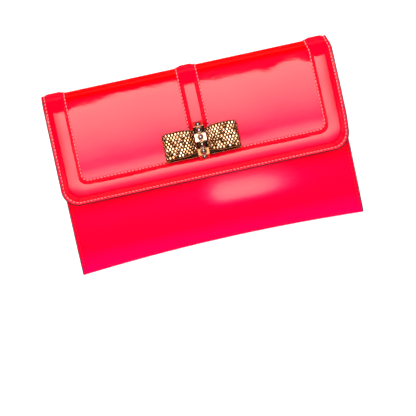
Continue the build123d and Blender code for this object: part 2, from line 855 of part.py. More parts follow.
# one domed stud on each facet
dome_r = (stud_r**2 + (stud_h - 0.3) ** 2) / (2 * (stud_h - 0.3))
with BuildPart() as bow_knot_studs:
    for i, a in enumerate(slopes):
        v0 = (chain[i][0] + chain[i + 1][0]) / 2
        w0 = (chain[i][1] + chain[i + 1][1]) / 2
        origin = flap_plane.from_local_coords(Vector(0, v0, w0))
        normal = flap_plane.y_dir * -sin(a) + flap_plane.z_dir * cos(a)
        with BuildSketch(Plane(origin=origin, x_dir=(1, 0, 0), z_dir=Vector(1, 0, 0).cross(normal))):
            with BuildLine():
                half = asin(stud_r / dome_r) / 2
                Line((0, 0), (stud_r, 0))
                Line((stud_r, 0), (stud_r, 0.3))
                ThreePointArc(
                    (stud_r, 0.3),
                    (dome_r * sin(half), stud_h - dome_r * (1 - cos(half))),
                    (0, stud_h),
                )
                Line((0, stud_h), (0, 0))
            make_face()
        revolve(axis=Axis(origin, normal), revolution_arc=360)
bow_knot_studs.part.label = "bow_knot_studs"
export_step(bow_knot_studs.part, "parts/bow_knot_studs.step")
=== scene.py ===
import bpy
import bmesh
import json
import math
import numpy as np
from mathutils import Vector, Matrix

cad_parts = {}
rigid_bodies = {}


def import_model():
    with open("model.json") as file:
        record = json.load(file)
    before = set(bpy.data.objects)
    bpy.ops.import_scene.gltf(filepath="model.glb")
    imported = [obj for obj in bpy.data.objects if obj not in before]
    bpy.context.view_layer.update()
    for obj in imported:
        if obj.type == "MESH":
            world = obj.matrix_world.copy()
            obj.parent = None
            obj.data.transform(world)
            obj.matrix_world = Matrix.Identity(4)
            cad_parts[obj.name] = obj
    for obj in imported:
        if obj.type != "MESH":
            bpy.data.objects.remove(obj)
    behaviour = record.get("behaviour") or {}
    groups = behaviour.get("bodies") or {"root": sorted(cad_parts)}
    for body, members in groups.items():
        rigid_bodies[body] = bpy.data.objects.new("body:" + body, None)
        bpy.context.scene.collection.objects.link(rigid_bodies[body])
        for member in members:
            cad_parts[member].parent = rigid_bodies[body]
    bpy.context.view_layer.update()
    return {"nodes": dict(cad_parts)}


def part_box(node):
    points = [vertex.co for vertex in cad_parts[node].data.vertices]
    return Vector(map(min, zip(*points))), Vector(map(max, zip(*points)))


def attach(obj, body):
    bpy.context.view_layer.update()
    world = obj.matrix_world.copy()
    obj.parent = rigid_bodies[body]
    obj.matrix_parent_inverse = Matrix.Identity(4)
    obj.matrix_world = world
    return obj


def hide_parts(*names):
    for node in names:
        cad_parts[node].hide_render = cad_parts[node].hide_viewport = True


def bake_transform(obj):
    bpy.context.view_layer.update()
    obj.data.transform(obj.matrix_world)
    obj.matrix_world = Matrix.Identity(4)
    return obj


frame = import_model()
MM = 0.001
rng = np.random.RandomState(7)

# ---------------------------------------------------------------------------
# the frame's numbers, in millimetres
# ---------------------------------------------------------------------------


def cad(node):
    lo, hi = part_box(node)
    return np.array(lo) * 1000, np.array(hi) * 1000


flap_lo, flap_hi = cad("flap_panel")
HALF = flap_hi[0]                       # half the flap's width
FREE_Y = flap_lo[1]                     # the flap's free edge
fold_hi = cad("top_fold")[1]
TOP_Y = fold_hi[1]                      # outside of the top fold
CREASE_Y = 82.0
FLAP_K = 3.4 / 104.0                    # slope of the flap
UNDER_Z = 20.4                          # under side of the flap at the crease
SKIN = 2.8                              # lining, board and leather together
MID_Z = 11.6                            # middle of the top fold
FRONT_LOW_Z = 9.4
TANGENT_Y = -76.3
FRONT_K = (16.6 - 9.4) / (66.0 + 76.3)
MOUTH_Y = 66.0
CORNER_DROP = 5.0
BODY_TOP = 138.0
BODY_LOW = 137.0


def smooth(a, b, x):
    t = np.clip((np.asarray(x, float) - a) / (b - a), 0, 1)
    return t * t * (3 - 2 * t)


def bump1(x, c, w):
    """A soft bell of height 1 at c."""
    return np.exp(-(((np.asarray(x, float) - c) / w) ** 2))


def bezier(p0, p1, p2, p3, n):
    t = np.linspace(0, 1, n)[:, None]
    p0, p1, p2, p3 = (np.array(p, float) for p in (p0, p1, p2, p3))
    return (1 - t) ** 3 * p0 + 3 * (1 - t) ** 2 * t * p1 + 3 * (1 - t) * t * t * p2 + t**3 * p3


class Path:
    """A section curve by its length."""

    def __init__(self, pts):
        pts = np.array(pts, float)
        keep = np.r_[True, np.linalg.norm(np.diff(pts, axis=0), axis=1) > 1e-6]
        self.p = pts[keep]
        d = np.linalg.norm(np.diff(self.p, axis=0), axis=1)
        self.s = np.r_[0, np.cumsum(d)]
        self.length = self.s[-1]
        t = np.gradient(self.p, self.s, axis=0)
        t /= np.linalg.norm(t, axis=1)[:, None]
        self.t = t

    def at(self, s):
        s = np.asarray(s, float)
        return np.stack([np.interp(s, self.s, self.p[:, 0]), np.interp(s, self.s, self.p[:, 1])], -1)

    def tangent(self, s):
        s = np.asarray(s, float)
        t = np.stack([np.interp(s, self.s, self.t[:, 0]), np.interp(s, self.s, self.t[:, 1])], -1)
        return t / np.linalg.norm(t, axis=-1)[..., None]

    def normal(self, s):
        """To the left of the way the path runs."""
        t = self.tangent(s)
        return np.stack([-t[..., 1], t[..., 0]], -1)


def z_panel(y):
    return UNDER_Z + SKIN - (CREASE_Y - y) * FLAP_K


# section of the flap's outer face, from its free edge up and over to the middle of the fold
START_FOLD = 75.5
VIS_TOP = TOP_Y + 0.9                   # the leather rounds out a little past the flat crease
flap_line = np.stack([np.linspace(FREE_Y, START_FOLD, 120), z_panel(np.linspace(FREE_Y, START_FOLD, 120))], -1)
a = flap_line[-1]
upper = bezier(a, (a[0] + 7.2, a[1] + 7.2 * FLAP_K), (VIS_TOP, MID_Z + 6.8), (VIS_TOP, MID_Z), 160)
flap_path = Path(np.vstack([flap_line, upper]))
T_FREE = 0.0
T_END = flap_path.length
# section of the back, from the middle of the fold down and along to the bottom
lower = bezier((VIS_TOP, MID_Z), (VIS_TOP, MID_Z - 7.0), (TOP_Y - 2.5, 0.0), (TOP_Y - 11.0, 0.0), 120)
back_line = np.stack([np.linspace(TOP_Y - 11.0, TANGENT_Y, 100), np.zeros(100)], -1)
back_path = Path(np.vstack([lower, back_line]))


def flap_half_at(t, x=-1.0):
    """Half the flap's width by its length up from the free edge: it draws in over the fold, more on the right."""
    y = flap_path.at(t)[..., 0]
    right = 0.25 * smooth(35, 72, y) + 3.2 * smooth(73, VIS_TOP + 1.5, y) + 1.3 * smooth(10, -12, y)
    left = 0.2 * smooth(72, VIS_TOP, y)
    return HALF - np.where(np.asarray(x) > 0, right, left)


def ripple(x, t):
    """The slight waves of sheet leather over a board, in mm."""
    x = np.asarray(x, float)
    t = np.asarray(t, float)
    w = 0.040 * np.sin(x / 31.0 + 0.6) * np.sin(t / 27.0 + 0.4)
    w += 0.014 * np.sin(x / 17.0 - t / 19.0 + 1.9)
    w += 0.008 * np.sin(x / 9.0 + t / 13.0)
    return w


# how much the panels lift or dip towards the top fold, across the width (x in mm, slope in degrees)
SWELL_X = np.array([-117.9, -96.9, -74.0, -58.8, -44.5, -25.5, -11.2, 12.6, 31.7, 50.7, 65.0, 71.7, 75.5, 84.0, 98.3, 109.8, 117.4])
SWELL_A = np.array([0.004, -0.040, -0.132, -0.175, -0.243, -0.201, -0.173, -0.023, -0.092, -0.037, -0.018, 0.081, 0.133, 0.048, 0.032, 0.078, 0.120])


def swell(x, t):
    s = np.interp(x, SWELL_X, SWELL_A)
    k = np.clip((np.asarray(t, float) - 74.0) / 12.0, 0, 1)
    run = np.where(k < 1, 6.0 * k * k, np.asarray(t, float) - 80.0)
    return -np.tan(np.radians(s)) * run


def on_flap(x, t, h):
    """A point at x across, t up from the free edge and h above the flap's leather."""
    x, t, h = np.broadcast_arrays(np.asarray(x, float), np.asarray(t, float), np.asarray(h, float))
    c = flap_path.at(t)
    n = flap_path.normal(t)
    s = flap_half_at(t, x) / HALF
    return np.stack([x * s, c[..., 0] + n[..., 0] * h, c[..., 1] + n[..., 1] * h], -1)


# ---------------------------------------------------------------------------
# mesh helpers
# ---------------------------------------------------------------------------


def make_object(name, verts, faces, smooth_faces=True):
    me = bpy.data.meshes.new(name)
    me.from_pydata([tuple(v) for v in np.asarray(verts, float) * MM], [], faces)
    me.update()
    bm = bmesh.new()
    bm.from_mesh(me)
    bmesh.ops.recalc_face_normals(bm, faces=bm.faces)
    bm.to_mesh(me)
    bm.free()
    if smooth_faces:
        me.polygons.foreach_set("use_smooth", [True] * len(me.polygons))
    ob = bpy.data.objects.new(name, me)
    bpy.context.scene.collection.objects.link(ob)
    return ob


def grid_faces(nu, nv, base=0, flip=False, wrap_u=False, wrap_v=False):
    faces = []
    for i in range(nu if wrap_u else nu - 1):
        for j in range(nv if wrap_v else nv - 1):
            i2, j2 = (i + 1) % nu, (j + 1) % nv
            f = (base + i * nv + j, base + i2 * nv + j, base + i2 * nv + j2, base + i * nv + j2)
            faces.append(f[::-1] if flip else f)
    return faces


def sheet_solid(name, top, bottom):
    """A closed sheet between two grids of points of the same size."""
    nu, nv = top.shape[:2]
    n = nu * nv
    verts = np.vstack([top.reshape(-1, 3), bottom.reshape(-1, 3)])
    faces = grid_faces(nu, nv) + grid_faces(nu, nv, n, flip=True)
    for i in range(nu - 1):
        faces.append((i * nv, n + i * nv, n + (i + 1) * nv, (i + 1) * nv))
        a0, a1 = i * nv + nv - 1, (i + 1) * nv + nv - 1
        faces.append((a0, a1, n + a1, n + a0))
    for j in range(nv - 1):
        faces.append((j, j + 1, n + j + 1, n + j))
        a0, a1 = (nu - 1) * nv + j, (nu - 1) * nv + j + 1
        faces.append((a0, n + a0, n + a1, a1))
    return make_object(name, verts, faces)


def tube(name, pts, radius, sides=8, flat=1.0, ups=None, ends=True):
    """A round bead along points; flat squeezes it along its up direction."""
    v, f = tube_data(pts, radius, sides, flat, ups, ends)
    return make_object(name, v, f)


def tube_data(pts, radius, sides=8, flat=1.0, ups=None, ends=True):
    pts = np.asarray(pts, float)
    n = len(pts)
    tan = np.gradient(pts, axis=0)
    tan /= np.linalg.norm(tan, axis=1)[:, None]
    up = np.tile([0, 0, 1.0], (n, 1)) if ups is None else np.asarray(ups, float)
    side = np.cross(tan, up)
    side /= np.linalg.norm(side, axis=1)[:, None]
    up = np.cross(side, tan)
    r = np.broadcast_to(np.asarray(radius, float), (n,))
    ang = np.linspace(0, 2 * np.pi, sides, endpoint=False)
    ring = (
        pts[:, None]
        + side[:, None] * (np.cos(ang)[None, :, None] * r[:, None, None])
        + up[:, None] * (np.sin(ang)[None, :, None] * r[:, None, None] * flat)
    )
    verts = ring.reshape(-1, 3)
    faces = grid_faces(n, sides, wrap_v=True)
    if ends:
        verts = np.vstack([verts, pts[0], pts[-1]])
        for j in range(sides):
            k = (j + 1) % sides
            faces.append((k, j, n * sides))
            faces.append(((n - 1) * sides + j, (n - 1) * sides + k, n * sides + 1))
    return verts, faces


def stitches(name, pts, ups, pitch=3.4, length=2.15, radius=0.46, lean=0.10):
    """A row of separate stitches along a line of points, and the needle holes between them."""
    pts = np.asarray(pts, float)
    ups = np.asarray(ups, float)
    d = np.r_[0, np.cumsum(np.linalg.norm(np.diff(pts, axis=0), axis=1))]
    count = int(d[-1] // pitch)
    start = (d[-1] - count * pitch) / 2
    verts, faces, hverts, hfaces = [], [], [], []
    base = hbase = 0
    k = np.linspace(-0.5, 0.5, 9)
    ang = np.linspace(0, 2 * np.pi, 10, endpoint=False)

    def frame_at(s):
        p = np.stack([np.interp(s, d, pts[:, a]) for a in range(3)], -1)
        u = np.stack([np.interp(s, d, ups[:, a]) for a in range(3)], -1)
        return p, u / np.linalg.norm(u, axis=-1)[..., None]

    for i in range(count):
        mid = start + (i + 0.5) * pitch
        p, u = frame_at(mid + k * length)
        t = p[-1] - p[0]
        t /= np.linalg.norm(t)
        side = np.cross(t, u[4])
        arch = (1 - (2 * k) ** 2) * 0.40 - 0.30 * (np.abs(2 * k) ** 6)
        p = p + u * arch[:, None] + side * (k[:, None] * lean * length)
        rad = radius * np.clip(1.15 - np.abs(2 * k) ** 4 * 0.8, 0.2, 1)
        v, f = tube_data(p, rad, 7, 0.85, u)
        verts.append(v)
        faces += [tuple(q + base for q in g) for g in f]
        base += len(v)
    for i in range(count + 1):
        p, u = frame_at(np.array([start + i * pitch, min(start + i * pitch + 0.5, d[-1])]))
        t = p[1] - p[0]
        if np.linalg.norm(t) < 1e-6:
            continue
        t /= np.linalg.norm(t)
        side = np.cross(t, u[0])
        rings = []
        for rr, hh in ((0.62, -0.25), (0.60, 0.20), (0.42, 0.24)):
            rings.append(p[0] + u[0] * hh + np.outer(np.cos(ang), t) * rr + np.outer(np.sin(ang), side) * rr * 0.75)
        v = np.vstack(rings + [[p[0] + u[0] * 0.02]])
        f = grid_faces(3, 10, wrap_v=True) + [tuple(range(10))[::-1]]
        f += [(20 + j, 20 + (j + 1) % 10, 30) for j in range(10)]
        hverts.append(v)
        hfaces += [tuple(q + hbase for q in g) for g in f]
        hbase += len(v)
    row = make_object(name, np.vstack(verts), faces)
    holes = make_object(name + "_holes", np.vstack(hverts), hfaces)
    return row, holes


def sew(name, pts, ups, mat, follow, **kw):
    row, holes = stitches(name, pts, ups, **kw)
    dress(row, mat)
    dress(holes, M_HOLE_SHADE)
    for ob in (row, holes):
        follow(ob)


# ---------------------------------------------------------------------------
# materials
# ---------------------------------------------------------------------------


class Nodes:
    def __init__(self, name):
        self.m = bpy.data.materials.new(name)
        self.m.use_nodes = True
        self.t = self.m.node_tree
        for n in list(self.t.nodes):
            self.t.nodes.remove(n)
        self.out = self.t.nodes.new("ShaderNodeOutputMaterial")
        self.b = self.t.nodes.new("ShaderNodeBsdfPrincipled")
        self.t.links.new(self.b.outputs[0], self.out.inputs[0])
        self.co = self.t.nodes.new("ShaderNodeTexCoord")

    def new(self, kind, **kw):
        n = self.t.nodes.new(kind)
        for k, v in kw.items():
            if hasattr(n, k):
                setattr(n, k, v)
            else:
                n.inputs[k.replace("_", " ")].default_value = v
        return n

    def link(self, a, b):
        self.t.links.new(a, b)
        return b

    def set(self, **kw):
        for k, v in kw.items():
            self.b.inputs[k.replace("_", " ")].default_value = v

    def mapping(self, scale=(1, 1, 1), rot=(0, 0, 0)):
        m = self.new("ShaderNodeMapping")
        m.inputs["Scale"].default_value = scale
        m.inputs["Rotation"].default_value = rot
        self.link(self.co.outputs["Object"], m.inputs["Vector"])
        return m.outputs[0]

    def noise(self, scale, detail=3.0, rough=0.5, vector=None):
        n = self.new("ShaderNodeTexNoise")
        n.inputs["Scale"].default_value = scale
        n.inputs["Detail"].default_value = detail
        n.inputs["Roughness"].default_value = rough
        self.link(vector if vector is not None else self.co.outputs["Object"], n.inputs["Vector"])
        return n.outputs[0]

    def ramp(self, fac, stops):
        r = self.new("ShaderNodeValToRGB")
        e = r.color_ramp.elements
        while len(e) < len(stops):
            e.new(0.5)
        for i, (p, c) in enumerate(stops):
            e[i].position = p
            e[i].color = (*c, 1)
        self.link(fac, r.inputs[0])
        return r.outputs[0]

    def remap(self, fac, a, b, c, d):
        r = self.new("ShaderNodeMapRange")
        for k, v in (("From Min", a), ("From Max", b), ("To Min", c), ("To Max", d)):
            r.inputs[k].default_value = v
        self.link(fac, r.inputs["Value"])
        return r.outputs[0]

    def bump(self, height, distance, strength=1.0, normal=None):
        n = self.new("ShaderNodeBump")
        n.inputs["Distance"].default_value = distance
        n.inputs["Strength"].default_value = strength
        self.link(height, n.inputs["Height"])
        if normal is not None:
            self.link(normal, n.inputs["Normal"])
        return n.outputs[0]


def patent_leather(name, base=(1.0, 0.0, 0.022), deep=(0.93, 0.0, 0.012), wave=1.0, painted_light_ramp=None):
    n = Nodes(name)
    big = n.noise(9.0, 2.0, 0.5)
    fine = n.noise(2600.0, 2.0, 0.5)
    orange = n.noise(240.0, 2.0, 0.5)
    colour = n.ramp(big, [(0.30, deep), (0.72, base)])
    # painted light: a ramp of added blue along object y; in this saturated red less blue reads as painted shade and
    # more blue as a painted reflection
    if painted_light_ramp:
        sep = n.new("ShaderNodeSeparateXYZ")
        n.link(n.co.outputs["Object"], sep.inputs[0])
        along = n.remap(sep.outputs["Y"], painted_light_ramp[0] * MM, painted_light_ramp[1] * MM, 0.0, 1.0)
        mix = n.new("ShaderNodeMixRGB", blend_type="ADD")
        mix.inputs[0].default_value = 1.0
        n.link(colour, mix.inputs[1])
        tone = n.ramp(along, painted_light_ramp[2])
        tone.node.color_ramp.interpolation = "EASE"
        n.link(tone, mix.inputs[2])
        colour = mix.outputs[0]
    n.link(colour, n.b.inputs["Base Color"])
    n.link(n.remap(fine, 0.3, 0.7, 0.16, 0.24), n.b.inputs["Roughness"])
    nrm = n.bump(orange, 0.00001 * wave, 1.0)
    nrm = n.bump(n.noise(60.0, 1.0, 0.4), 0.000012 * wave, 1.0, nrm)
    n.link(nrm, n.b.inputs["Coat Normal"])
    grain = n.new("ShaderNodeTexVoronoi")
    grain.inputs["Scale"].default_value = 900.0
    n.link(n.co.outputs["Object"], grain.inputs["Vector"])
    n.link(n.bump(grain.outputs["Distance"], 0.00002, 0.5, nrm), n.b.inputs["Normal"])
    n.set(Coat_Weight=1.0, Coat_Roughness=0.022, Coat_IOR=1.5, IOR=1.45, Specular_IOR_Level=0.03)
    return n.m


def edge_paint(name):
    n = Nodes(name)
    c = n.ramp(n.noise(420.0, 3.0), [(0.3, (0.022, 0.008, 0.016)), (0.7, (0.050, 0.018, 0.034))])
    n.link(c, n.b.inputs["Base Color"])
    n.link(n.bump(n.noise(900.0, 3.0), 0.00006, 0.6), n.b.inputs["Normal"])
    n.link(n.remap(n.noise(300.0), 0.3, 0.7, 0.34, 0.52), n.b.inputs["Roughness"])
    return n.m


def thread(name, low, high, sheen=0.25, level=0.6):
    n = Nodes(name)
    w = n.new("ShaderNodeTexWave", wave_type="BANDS", bands_direction="DIAGONAL")
    w.inputs["Scale"].default_value = 900.0
    w.inputs["Distortion"].default_value = 1.5
    n.link(n.co.outputs["Object"], w.inputs["Vector"])
    c = n.ramp(w.outputs[0], [(0.2, low), (0.8, high)])
    n.link(c, n.b.inputs["Base Color"])
    n.link(n.bump(w.outputs[0], 0.00006, 0.8), n.b.inputs["Normal"])
    n.link(n.remap(w.outputs[0], 0, 1, 0.30, 0.42), n.b.inputs["Roughness"])
    n.set(Sheen_Weight=sheen, Specular_IOR_Level=level)
    return n.m


def lining_cloth(name):
    n = Nodes(name)
    a = n.new("ShaderNodeTexWave", wave_type="BANDS", bands_direction="X")
    b = n.new("ShaderNodeTexWave", wave_type="BANDS", bands_direction="Y")
    for w in (a, b):
        w.inputs["Scale"].default_value = 420.0
        w.inputs["Distortion"].default_value = 0.6
        w.inputs["Detail Scale"].default_value = 2.0
        n.link(n.co.outputs["Object"], w.inputs["Vector"])
    mix = n.new("ShaderNodeMath", operation="MULTIPLY")
    n.link(a.outputs[0], mix.inputs[0])
    n.link(b.outputs[0], mix.inputs[1])
    tone = n.noise(35.0, 3.0)
    c = n.ramp(mix.outputs[0], [(0.0, (0.30, 0.235, 0.165)), (0.7, (0.52, 0.43, 0.32))])
    c2 = n.new("ShaderNodeMixRGB", blend_type="MULTIPLY")
    c2.inputs[0].default_value = 0.35
    n.link(c, c2.inputs[1])
    n.link(n.ramp(tone, [(0.3, (0.72, 0.70, 0.68)), (0.7, (1, 1, 1))]), c2.inputs[2])
    n.link(c2.outputs[0], n.b.inputs["Base Color"])
    n.link(n.bump(mix.outputs[0], 0.00010, 0.8), n.b.inputs["Normal"])
    n.link(n.remap(tone, 0.3, 0.7, 0.78, 0.92), n.b.inputs["Roughness"])
    n.set(Sheen_Weight=0.3)
    return n.m


def gold(name, light=(1.0, 0.72, 0.50), dark=(0.80, 0.43, 0.24), rough=(0.08, 0.16), scale=60.0):
    n = Nodes(name)
    c = n.ramp(n.noise(scale, 3.0), [(0.3, dark), (0.7, light)])
    n.link(c, n.b.inputs["Base Color"])
    n.link(n.remap(n.noise(700.0, 2.0), 0.3, 0.7, rough[0], rough[1]), n.b.inputs["Roughness"])
    n.link(n.bump(n.noise(1500.0, 2.0), 0.000004, 0.5), n.b.inputs["Normal"])
    n.set(Metallic=1.0)
    return n.m


def steel(name, tint=(0.42, 0.42, 0.44)):
    n = Nodes(name)
    v = n.mapping((40, 900, 40))
    c = n.ramp(n.noise(3.0, 3.0, vector=v), [(0.3, tuple(0.7 * t for t in tint)), (0.7, tint)])
    n.link(c, n.b.inputs["Base Color"])
    n.link(n.remap(n.noise(5.0, 3.0, vector=v), 0.3, 0.7, 0.25, 0.45), n.b.inputs["Roughness"])
    n.set(Metallic=1.0)
    return n.m


def fibre(name):
    n = Nodes(name)
    c = n.ramp(n.noise(600.0, 5.0), [(0.3, (0.28, 0.21, 0.13)), (0.7, (0.45, 0.36, 0.24))])
    n.link(c, n.b.inputs["Base Color"])
    n.link(n.bump(n.noise(900.0, 4.0), 0.00008, 0.6), n.b.inputs["Normal"])
    n.link(n.remap(n.noise(80.0), 0.3, 0.7, 0.8, 0.95), n.b.inputs["Roughness"])
    return n.m


# flap leather: its added blue falls away over the top fold, a painted shade there
M_LEATHER = patent_leather(
    "patent_red", base=(1.0, 0.0, 0.001), deep=(0.95, 0.0, 0.0005),
    painted_light_ramp=(40.0, 86.0, [(0.0, (0, 0, 0.021)), (0.70, (0, 0, 0.021)), (0.86, (0, 0, 0.0))]),
)
# body leather: extra blue towards the bottom fold is a painted reflection there, and blue falling to nothing just below
# the flap's edge is the flap's painted shadow
M_BODY = patent_leather(
    "patent_red_body", base=(1.0, 0.0, 0.014), deep=(0.95, 0.0, 0.008), wave=1.2,
    painted_light_ramp=(-88.0, -20.0, [(0.0, (0, 0, 0.060)), (0.16, (0, 0, 0.040)), (0.36, (0, 0, 0.013)), (0.78, (0, 0, 0.017)), (0.98, (0, 0, 0.0))]),
)
M_BAND = patent_leather("patent_red_band", wave=0.6)
M_EDGE = edge_paint("edge_paint")
# the thread's pink, lighter than the leather's red, is a painted highlight on the stitches
M_THREAD_PAINTED_HIGHLIGHT = thread("red_thread", (0.95, 0.11, 0.13), (1.0, 0.42, 0.43))
M_THREAD_BODY = thread("red_thread_body", (0.80, 0.001, 0.012), (0.97, 0.008, 0.03), 0.04, 0.2)


def needle_hole(name):
    n = Nodes(name)
    # the darker red in the needle holes is painted shade inside them
    c = n.ramp(n.noise(700.0, 2.0), [(0.3, (0.35, 0.0, 0.012)), (0.7, (0.62, 0.0, 0.02))])
    n.link(c, n.b.inputs["Base Color"])
    n.link(n.remap(n.noise(900.0, 2.0), 0.3, 0.7, 0.5, 0.7), n.b.inputs["Roughness"])
    n.set(Specular_IOR_Level=0.1)
    return n.m


M_HOLE_SHADE = needle_hole("needle_hole")
M_LINING = lining_cloth("lining_weave")
M_GOLD = gold("rose_gold")
M_STUD = gold("rose_gold_stud", (0.84, 0.76, 0.68), (0.72, 0.60, 0.50), (0.03, 0.06), 60.0)
M_MESH = gold("rose_gold_mesh", (0.98, 0.66, 0.38), (0.82, 0.40, 0.15), (0.05, 0.10), 130.0)
# near-black gold for the strap behind the bow's scales: painted shade in the gaps between them
M_MESH_SHADE = gold("mesh_shadow", (0.05, 0.022, 0.010), (0.015, 0.007, 0.004), (0.35, 0.5), 90.0)
M_SNAP = gold("snap_plate", (0.95, 0.78, 0.52), (0.75, 0.56, 0.34), (0.16, 0.28), 40.0)
M_STEEL = steel("magnet_grey")
M_FIBRE = fibre("fibre_board")


def dress(ob, mat):
    ob.data.materials.clear()
    ob.data.materials.append(mat)
    return ob


def bend_flap(ob):
    """Bakes the piece's transform into its mesh."""
    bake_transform(ob)
    return ob


def bend_back(ob):
    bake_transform(ob)
    return ob


# the flap's sheet: panels, with its outline tucked under the border band
def flap_sheet(name, h_top, h_low, inset, radius, t_end, nx=180, extra=None):
    """A sheet on the flap's section: its free corners are rounded."""
    t_low = inset
    ts = np.r_[
        t_low + radius * (1 - np.cos(np.linspace(0, np.pi / 2, 14))),
        np.linspace(t_low + radius, 84, 60)[1:],
        np.linspace(84, t_end, 60)[1:],
    ]
    rows_top, rows_low = [], []
    q = np.linspace(-1, 1, nx)
    for t in ts:
        half = HALF - inset
        if t < t_low + radius:
            dz = t_low + radius - t
            half = half - radius + math.sqrt(max(radius**2 - dz**2, 0))
        x = q * half
        extra_h = extra(x, t) if extra is not None else 0
        rows_top.append(on_flap(x, t, h_top + extra_h))
        rows_low.append(on_flap(x, t, h_low))
    return sheet_solid(name, np.array(rows_top), np.array(rows_low))


def panel_shape(x, t):
    """Height of the recessed panels: turned up against the lower band, with waves that die out beside the bands and a
    swell towards the top fold.
    """
    ax = np.abs(x)
    side = np.minimum(ax - 10.0, 118.0 - ax)      # distance to the nearer band
    side = np.minimum(side, t - 22.5)
    low = np.clip(33.0 - t, 0, 11)
    lift = 0.030 / 22.0 * low**2                  # turned up against the lower band
    fade = 1 - smooth(100, 108, t)
    return lift + (ripple(x, t) * np.clip(side / 12.0, 0, 1) + swell(x, t)) * fade


flap_leather = flap_sheet("flap_leather", 0.0, -1.2, 1.0, 14.5, T_END, nx=300, extra=panel_shape)
dress(flap_leather, M_LEATHER)
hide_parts("flap_panel", "flap_board")
bend_flap(flap_leather)

# flap core seen at the edge: the lining cloth, with the painted edge drawn below
T_LINING_END = T_END
flap_cloth = flap_sheet("flap_lining_cloth", -2.0, -2.75, 1.6, 13.9, T_END - 1.0, nx=120)
dress(flap_cloth, M_LINING)
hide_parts("flap_lining")
bend_flap(flap_cloth)

# ---------------------------------------------------------------------------
# border band
# ---------------------------------------------------------------------------
R_OUT = 15.5
BAND_W = 21.9
R_IN = 6.6


def u_line(inset_d, t_end, n_leg=165, n_arc=30, n_low=300):
    """Points of the U at a share d (0 outside, 1 inside) of the band's width, in flap coordinates."""
    d = inset_d
    r = R_OUT + (R_IN - R_OUT) * d
    off = BAND_W * d
    xl = HALF - off
    tl = off
    cx, ct = xl - r, tl + r
    legs = np.r_[np.linspace(t_end, 70, 50), np.linspace(70, ct, n_leg - 49)[1:]]
    pts = [(-xl, t) for t in legs]
    for a in np.linspace(np.pi, 1.5 * np.pi, n_arc)[1:]:
        pts.append((-cx + r * np.cos(a), ct + r * np.sin(a)))
    for x in np.linspace(-cx, cx, n_low)[1:]:
        pts.append((x, tl))
    for a in np.linspace(1.5 * np.pi, 2 * np.pi, n_arc)[1:]:
        pts.append((cx + r * np.cos(a), ct + r * np.sin(a)))
    for t in legs[::-1][1:]:
        pts.append((xl, t))
    return np.array(pts)


def fuller(t):
    """The padding grows fuller towards the free edge, in mm."""
    t = np.asarray(t, float)
    tt = np.linspace(0, 120, 481)
    slope = np.interp(tt, [0, 12, 22, 67, 120], [0.5, 0.5, 1.9, 0.0, 0.0])
    run = np.tan(np.radians(slope)) * (tt[1] - tt[0])
    grow = np.cumsum(run[::-1])[::-1]
    return np.interp(t, tt, grow)


def band_profile(d, t):
    """Height of the border band above the flap's leather at d mm in from its edge."""
    d = np.asarray(d, float)
    side = smooth(20, 38, t)
    crest = 1.30 - (d - (9.3 + 2.9 * side)) ** 2 / (520.0 - 100.0 * side) + fuller(t)
    rise = smooth(2.3, 7.4, d) * (1 - smooth(18.0, 21.1, d))
    fold = smooth(91.5, 104, t)               # flatter where it runs over the fold
    rise = rise * (1 - 0.80 * fold)
    margin = 0.80 + 0.036 * np.clip(1.9 - d, 0, 2)
    margin = margin - 0.55 * smooth(20.6, 21.9, d)
    h = margin + (crest - 0.1) * rise
    h = h - 0.30 * bump1(d, 2.25, 0.55) - 0.16 * bump1(d, 21.0, 0.5)
    return h


ds = np.r_[0.0, 0.12, 0.3, 0.6, np.linspace(0.9, 3.4, 11), np.linspace(3.9, 8.5, 13), np.linspace(9.2, 16.4, 11), np.linspace(16.9, 20.2, 14), np.linspace(20.45, 21.7, 8), 21.9]
top_rows, low_rows = [], []
for d in ds:
    uv = u_line(d / BAND_W, T_END)
    t = uv[:, 1]
    h = band_profile(d, t)
    edge = min(d, BAND_W - d)
    h = h - 0.28 * np.exp(-edge / 0.14)
    wob = 0.010 * np.sin(np.arange(len(t)) / 17.0) * smooth(3, 8, d) * (1 - smooth(15, 20, d))
    wob = wob + 0.05 * np.sin(np.cumsum(np.r_[0, np.hypot(*np.diff(uv, axis=0).T)]) * 2 * np.pi / 3.4) * (bump1(d, 3.2, 1.0) + bump1(d, 20.3, 0.7)) * (1 - smooth(92, 100, t))
    top_rows.append(on_flap(uv[:, 0], t, h + wob))
    low_rows.append(on_flap(uv[:, 0], t, np.full(len(t), 0.02)))
border = sheet_solid("border_band", np.array(top_rows), np.array(low_rows))
dress(border, M_BAND)
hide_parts("flap_border_band", "border_padding")
bend_flap(border)

# painted edge round the flap
uv = u_line(0.0, T_END)
out_n = np.stack([np.gradient(uv[:, 1]), -np.gradient(uv[:, 0])], -1)
out_n /= np.linalg.norm(out_n, axis=1)[:, None]
out_n *= np.sign(np.sum(out_n * (uv - np.array([0, 60.0])), axis=1))[:, None]
mid = on_flap(uv[:, 0] + 0.12 * out_n[:, 0], uv[:, 1] + 0.12 * out_n[:, 1], np.full(len(uv), -0.75))
tan = np.gradient(mid, axis=0)
tan /= np.linalg.norm(tan, axis=1)[:, None]
n2 = flap_path.normal(uv[:, 1])
up = np.stack([np.zeros(len(uv)), n2[:, 0], n2[:, 1]], -1)
flap_edge = tube("flap_painted_edge", mid, 0.72, 12, 2.35, up)
dress(flap_edge, M_EDGE)
bend_flap(flap_edge)


def band_stitches(name, d, h, radius, t_end=T_END - 3.0):
    uv = u_line(d / BAND_W, t_end, 400, 60, 700)
    p = on_flap(uv[:, 0], uv[:, 1], np.full(len(uv), h))
    n2 = flap_path.normal(uv[:, 1])
    up = np.stack([np.zeros(len(uv)), n2[:, 0], n2[:, 1]], -1)
    sew(name, p, up, M_THREAD_PAINTED_HIGHLIGHT, bend_flap, radius=radius)


